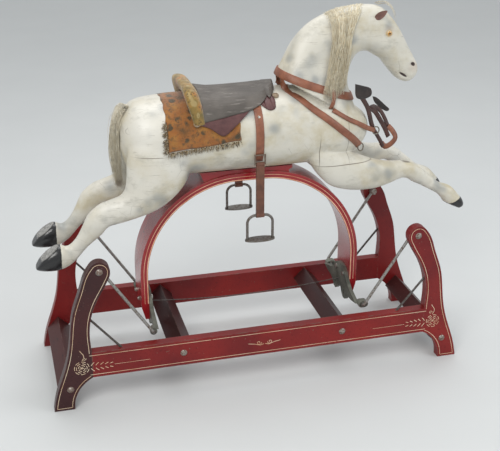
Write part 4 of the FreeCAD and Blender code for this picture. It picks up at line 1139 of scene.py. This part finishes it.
cantle = mesh_piece("cantle_roll", verts, faces, floral)
rounded = cantle.modifiers.new("rounded", "SUBSURF")
rounded.levels = rounded.render_levels = 1
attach(cantle, "horse")
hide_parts("cantle_roll")

# ---- Saddle seat ----
# A thin padded seat of worn grey leather, nailed along its lower edges, over maroon leather flaps
# that are torn away in front.
seat_hide, tree, shader = new_material("worn_grey_leather", roughness=0.5)
where = place_of(tree)
streaks = noise(tree, place_of(tree, scale=(0.12, 1.0, 1.0)), 150.0, 5.0, 0.7)
cloudy = noise(tree, where, 17.0, 3.0)
tone = ramp(tree, cloudy, (0.3, (0.066, 0.056, 0.048)), (0.7, (0.118, 0.102, 0.088)))
creased = mix(tree, mask(tree, streaks, 0.56, 0.70), tone, (0.075, 0.066, 0.058))
bleached = mix(tree, mask(tree, streaks, 0.44, 0.30), creased, (0.21, 0.19, 0.17))
feed(tree, shader, Base_Color=mix(tree, worn(tree, 0.0015, 200.0), bleached, (0.36, 0.33, 0.29)),
     Normal=bump(tree, streaks, 0.0016, 0.8))
seat_rear, seat_front = -139.0, 62.0


def seat_low(x):
    """Height of the seat's lower edge on the side of the trunk."""
    rows = between([(-140, 714, 0), (-80, 722, 0), (-19, 731, 0), (20, 744, 0), (52, 766, 0),
                    (66, 778, 0)], 4.0)
    return float(np.interp(x, rows[:, 0], rows[:, 1]))


rings = []
along, across = 44, 60
withers_z = 757.0
for i in range(along + 1):
    t = i / along
    x = seat_rear + (seat_front - seat_rear) * t
    low_angle = angle_of(x, seat_low(x)) if seat_low(x) < withers_z else 30.0 * (70 - x) / 30 + 8
    low_angle = max(low_angle, 16.0)
    ring = []
    for j in range(across + 1):
        s = 1 - 2 * j / across
        angle = low_angle * s
        stuffing = 8.5 + 2.0 * t + 5.0 * max(0.0, t - 0.75) * 4 * math.exp(-(s / 0.6) ** 2)
        stuffing += 5.0 * max(0.0, 0.18 - t) / 0.18
        lift = 4.2 + stuffing * (1 - abs(s) ** 3.0)
        lift += 0.35 * math.sin(34 * s + 2.0 * math.sin(5 * t)) * (1 - s * s)
        ring.append(around(x + 4 * t * (1 - abs(s)), angle, lift)[0])
    rings.append(ring)
verts, faces = skin_rings(rings, close_round=False, cap=False)
seat = mesh_piece("saddle_seat", verts, faces, seat_hide)
thickened = seat.modifiers.new("hide", "SOLIDIFY")
thickened.thickness = 0.0022
thickened.offset = -1.0
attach(seat, "horse")
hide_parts("saddle_seat")

maroon = leather("maroon_flap_leather", (0.060, 0.020, 0.022), (0.125, 0.048, 0.045),
                 0.42, edge=(0.16, 0.07, 0.05))


def flap(name, upper, lower, lift, side):
    """Leather piece between an upper and a lower line of X and Z points on one side of the trunk."""
    top, low = between([(*p, 0) for p in upper], 3.0), between([(*p, 0) for p in lower], 3.0)
    rings = []
    for i in range(25):
        a = top[int(round(i * (len(top) - 1) / 24))]
        b = low[int(round(i * (len(low) - 1) / 24))]
        ring = []
        for j in range(9):
            x, z = (a + (b - a) * j / 8)[:2]
            place, _ = beside(x, z, side, lift + 0.5 * math.sin(i * 0.8) * j / 8)
            ring.append(place)
        rings.append(ring)
    verts, faces = skin_rings(rings, close_round=False, cap=False)
    made = mesh_piece(name, verts, faces, maroon)
    thick = made.modifiers.new("hide", "SOLIDIFY")
    thick.thickness = 0.002
    thick.offset = 0.0
    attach(made, "horse")
    return made


for side, hand in ((-1, "right"), (1, "left")):
    hanging = flap(hand + "_flap", [(-146, 716), (-120, 718), (-80, 724), (-45, 729), (-14, 736)],
                   [(-146, 710), (-120, 701), (-89, 682), (-60, 699), (-13, 733)], 4.6, side)
    flap(hand + "_flap_remnant", [(14, 748), (30, 756), (48, 762), (56, 762)],
                [(16, 744), (36, 731), (52, 734), (57, 748)], 1.6, side)
    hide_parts(hand + "_saddle_flap")

# ---- Tacks and rosettes ----
# Small domed tacks hold the seat's edge, and round leather rosettes cover the ends of its nailing.
tack_metal = old_iron("old_tack", (0.40, 0.36, 0.30), (0.13, 0.08, 0.05), 0.4, 0.5)


def dome(at, outward, radius, height, rings_count=5, count=16, rim=0.0):
    """Vertices and faces of a low dome, with a raised ring round it when rim is more than 0."""
    outward = Vector(outward).normalized()
    side = outward.orthogonal().normalized()
    other = outward.cross(side)
    turns = [k * math.pi / 2 / rings_count for k in range(rings_count)]
    profile = [(1.0, -0.4)] + [(math.cos(turn), math.sin(turn)) for turn in turns] + [(0.04, 1.0)]
    if rim:
        profile = [(1.0, -0.4), (1.0, 0.5), (0.93, 0.95), (0.84, 0.95), (0.74, 0.45), (0.55, 0.5),
                   (0.3, 0.9), (0.04, 1.0)]
    rings = [[at + (side * math.cos(a) + other * math.sin(a)) * r * radius + outward * h * height
              for a in (2 * math.pi * k / count for k in range(count))] for r, h in profile]
    return skin_rings(rings)


parts = []
for side in (-1, 1):
    for k in range(9):
        x = -132 + 17.5 * k
        place, outward = beside(x, seat_low(x) + 3, side, 5.6)
        parts.append(dome(place, outward, 0.0021, 0.0014))
tacks = gathered("seat_tacks", parts, tack_metal)
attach(tacks, "horse")
rosette_hide = leather("rosette_leather", (0.20, 0.14, 0.09), (0.40, 0.32, 0.22), 0.6)
parts = []
for side in (-1, 1):
    for x, z, lift in ((-153, 714, 5.5), (62, 756, 2.0)):
        place, outward = beside(x, z, side, lift)
        parts.append(dome(place, outward, 0.0085, 0.0034, rim=1.0, count=24))
rosettes = gathered("rosettes", parts, rosette_hide)
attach(rosettes, "horse")
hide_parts("saddle_rosettes")

# ---- Neck strap and breast straps ----
# Orange brown bridle leather: one strap round the root of the neck, and one down each shoulder to a
# ring on the breast, all nailed to the wood.
tan = leather("tan_bridle_leather", (0.15, 0.05, 0.027), (0.31, 0.115, 0.06), 0.42, edge=(0.07, 0.024, 0.014))


def strap(name, line, width, thick, *materials, taper=0.0):
    """Flat leather along (place, outward) points in metres: rounded edges, a slight crown, closed ends."""
    rows = between([(*place, *outward) for place, outward in line], 0.006)
    places = [Vector(row[:3]) for row in rows]
    rings = []
    for i, row in enumerate(rows):
        ahead = (places[min(i + 1, len(places) - 1)] - places[max(i - 1, 0)]).normalized()
        outward = Vector(row[3:6])
        outward = (outward - ahead * outward.dot(ahead)).normalized()
        side = ahead.cross(outward)
        half = width / 2 * (1 - taper * i / (len(rows) - 1))
        section = ((-1.0, 0.25), (-1.0, 0.7), (-0.9, 1.0), (0.0, 1.12), (0.9, 1.0), (1.0, 0.7),
                   (1.0, 0.25), (0.9, 0.0), (-0.9, 0.0))
        rings.append([places[i] + side * (u * half) + outward * (v * thick) for u, v in section])
    verts, faces = skin_rings(rings)
    return mesh_piece(name, verts, faces, *materials)


def neck_line():
    """Round the neck in a plane that slopes down towards the breast."""
    along, count = Vector((0.936, 0, -0.351)), 40
    middle = Vector((170, 0, 773)) * mm
    line = []
    for k in range(count + 1):
        a = 2 * math.pi * k / count
        ray = along * math.cos(a) + Vector((0, 1, 0)) * math.sin(a)
        place, outward = skin.ray_cast(middle + ray * 0.3, -ray)[:2]
        line.append((place + outward * 0.6 * mm, outward))
    return line


neck_strap = strap("neck_strap", neck_line(), 0.021, 0.003, tan)
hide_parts("neck_strap")
parts = [neck_strap]
strap_ends = {}
for side, hand in ((-1, "right"), (1, "left")):
    line = []
    for x, z in ((72, 794), (98, 770), (122, 748), (150, 726), (190, 697), (227, 667), (262, 637),
                 (292, 607)):
        place, outward = beside(x, z, side, 0.6)
        line.append((place, outward))
    strap_ends[side] = line[-1][0] + (Vector((4, side * 2.5, -5)) * mm)
    breast = strap(hand + "_breast_strap", line, 0.019, 0.003, tan)
    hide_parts(hand + "_breast_strap")
    parts.append(breast)
loop_line = [beside(x, z, -1, lift) for x, z, lift in (
    (206, 775, 2), (207, 764, 7), (206, 750, 9), (203, 734, 7), (200, 720, 2))]
parts.append(strap("strap_keeper_loop", loop_line, 0.011, 0.002, tan))
for made in parts:
    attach(made, "horse")

# ---- Fallen bridle ----
# The bridle has slid off the head and hangs on the breast from the neck strap: a rein to a ring,
# two blinkers, cheek straps with reddish edges and the noseband loop.
black_hide = leather("black_harness_leather", (0.010, 0.008, 0.008), (0.038, 0.026, 0.022),
                     0.32, edge=(0.09, 0.05, 0.035))
dark_hide = leather("dark_bridle_leather", (0.030, 0.012, 0.010), (0.085, 0.030, 0.022),
                    0.38, edge=(0.20, 0.065, 0.04))
outward_right = Vector((0.25, -1.0, 0.1)).normalized()


def hung(name, points, width, thick, material, facing=(0.25, -1.0, 0.1),
         body="horse", taper=0.0):
    """Loose strap through X, Y, Z points in millimetres."""
    made = strap(name, [(Vector(p) * mm, Vector(facing)) for p in points], width, thick, material,
                 taper=taper)
    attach(made, body)
    return made


rein_line = [beside(x, z, -1, 1.0) for x, z in ((206, 716), (228, 702), (252, 687), (276, 674))]
rein_line += [(Vector((x, y, z)) * mm, outward_right)
              for x, y, z in ((298, -66, 662), (318, -54, 650), (338, -42, 640))]
rein = strap("bridle_rein", rein_line, 0.013, 0.003, tan)
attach(rein, "horse")
cheek_right = hung("bridle_cheek_right", [(286, -66, 744), (300, -56, 726), (313, -48, 706),
                                          (322, -42, 684), (329, -38, 662), (336, -36, 644)],
                   0.013, 0.003, dark_hide)
cheek_left = hung("bridle_cheek_left", [(318, -30, 700), (336, -22, 692), (350, -14, 680),
                                        (364, -10, 660), (380, -8, 634), (394, -6, 606)],
                  0.013, 0.003, dark_hide)
browband = hung("bridle_browband", [(322, -36, 696), (340, -12, 694), (356, 4, 688), (374, 10, 674),
                                    (388, 12, 652), (398, 8, 628)],
                0.013, 0.003, dark_hide, facing=(0.5, -1.0, 0.5))
lead = hung("bridle_lead", [(338, -38, 640), (350, -34, 622), (362, -28, 604), (372, -24, 586)],
            0.011, 0.003, dark_hide)
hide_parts("bridle_straps")
for made in (cheek_left, browband, lead):
    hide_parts("bridle_straps")
nose_line = [(396, 4, 632), (408, -2, 618), (414, -8, 602), (402, -12, 588), (384, -12, 580), (374, -8, 590)]
noseband = hung("bridle_noseband", nose_line, 0.015, 0.003, tan)
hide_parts("bridle_noseband")


def blinker(name, corners, y, lean):
    """Stiff stitched leather plate, a little dished, from a rounded outline of X and Z points."""
    outline = between([(x, z, 0) for x, z in corners + corners[:1]], 3.0)[:-1, :2]
    middle = outline.mean(0)
    rings = []
    for scale, out in ((1.0, 0.0), (1.0, 2.4), (0.93, 3.6), (0.8, 3.0), (0.45, 2.2), (0.05, 2.0)):
        rings.append([Vector((x, y - out - lean * (x - middle[0]), z)) * mm
                      for x, z in middle + (outline - middle) * scale])
    verts, faces = skin_rings(rings)
    made = mesh_piece(name, verts, faces, black_hide)
    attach(made, "horse")
    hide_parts("blinkers")
    return made


blinker("blinker_right", [(266, 780), (290, 772), (313, 762), (316, 744), (298, 737), (276, 740),
                          (268, 752)], -70, -0.25)
blinker("blinker_left", [(338, 726), (350, 722), (372, 702), (384, 690), (378, 684), (362, 692),
                         (344, 710)], -22, 0.15)

# ---- Harness rings ----
# Small iron rings join the straps on the breast.


def ring_part(at, axis, radius, wire, count=28, sides=10):
    axis = Vector(axis).normalized()
    first = axis.orthogonal().normalized()
    second = axis.cross(first)
    rings = []
    for k in range(count):
        a = 2 * math.pi * k / count
        out = first * math.cos(a) + second * math.sin(a)
        rings.append([at + out * (radius + wire * math.cos(b)) + axis * wire * math.sin(b)
                      for b in (2 * math.pi * j / sides for j in range(sides))])
    verts, faces = skin_rings(rings + rings[:1], cap=False)
    return verts, faces


ring_metal = old_iron("harness_ring_iron", (0.30, 0.27, 0.22), (0.08, 0.055, 0.04), 0.35, 0.5)
parts = [ring_part(strap_ends[-1], (0.5, -1, 0.2), 0.0105, 0.0017),
         ring_part(strap_ends[1], (0.5, 1, 0.2), 0.0105, 0.0017),
         ring_part(Vector((344, -40, 638)) * mm, (0.2, -1, 0.1), 0.0100, 0.0017)]
rings_piece = gathered("harness_rings", parts, ring_metal)
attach(rings_piece, "horse")
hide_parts("harness_rings")

# ---- Flank straps and buckles ----
# A short tan strap is nailed to each flank by one bright rivet and carries an iron buckle.
leather_x = (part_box("right_stirrup_leather")[0][0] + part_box("right_stirrup_leather")[1][0]) / 2 / mm
strap_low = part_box("stirrup_buckles")[0][2] / mm + 6
parts = []
for side, hand in ((-1, "right"), (1, "left")):
    line = []
    for k in range(9):
        z = 740 - (740 - strap_low) * k / 8
        line.append(beside(leather_x, z, side, 0.6))
    hanging = strap(hand + "_flank_strap", line, 0.021, 0.003, tan)
    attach(hanging, "horse")
    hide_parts("flank_straps")
    place, outward = beside(leather_x, 718, side, 3.6)
    parts.append(dome(place, outward, 0.0036, 0.0016))
rivets = gathered("strap_rivets", parts, bright_steel)
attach(rivets, "horse")
buckle_iron = old_iron("buckle_iron", (0.24, 0.19, 0.15), (0.10, 0.06, 0.04), 0.4, 0.7)
soften(dress("stirrup_buckles", buckle_iron), 0.0004)

# ---- Stirrup leathers and stirrups ----
# Each loop of brown leather hangs from its buckle, and the forged iron with its oval tread hangs in it.
brown_hide = leather("stirrup_leather_brown", (0.085, 0.032, 0.020), (0.19, 0.075, 0.042),
                     0.42, edge=(0.05, 0.018, 0.012))
stirrup_steel = old_iron("stirrup_steel", (0.20, 0.185, 0.17), (0.10, 0.075, 0.055), 0.36, 0.5)
for hand in ("right", "left"):
    soften(dress(hand + "_stirrup_leather", brown_hide), 0.0006)
    soften(dress(hand + "_stirrup", stirrup_steel), 0.0008)
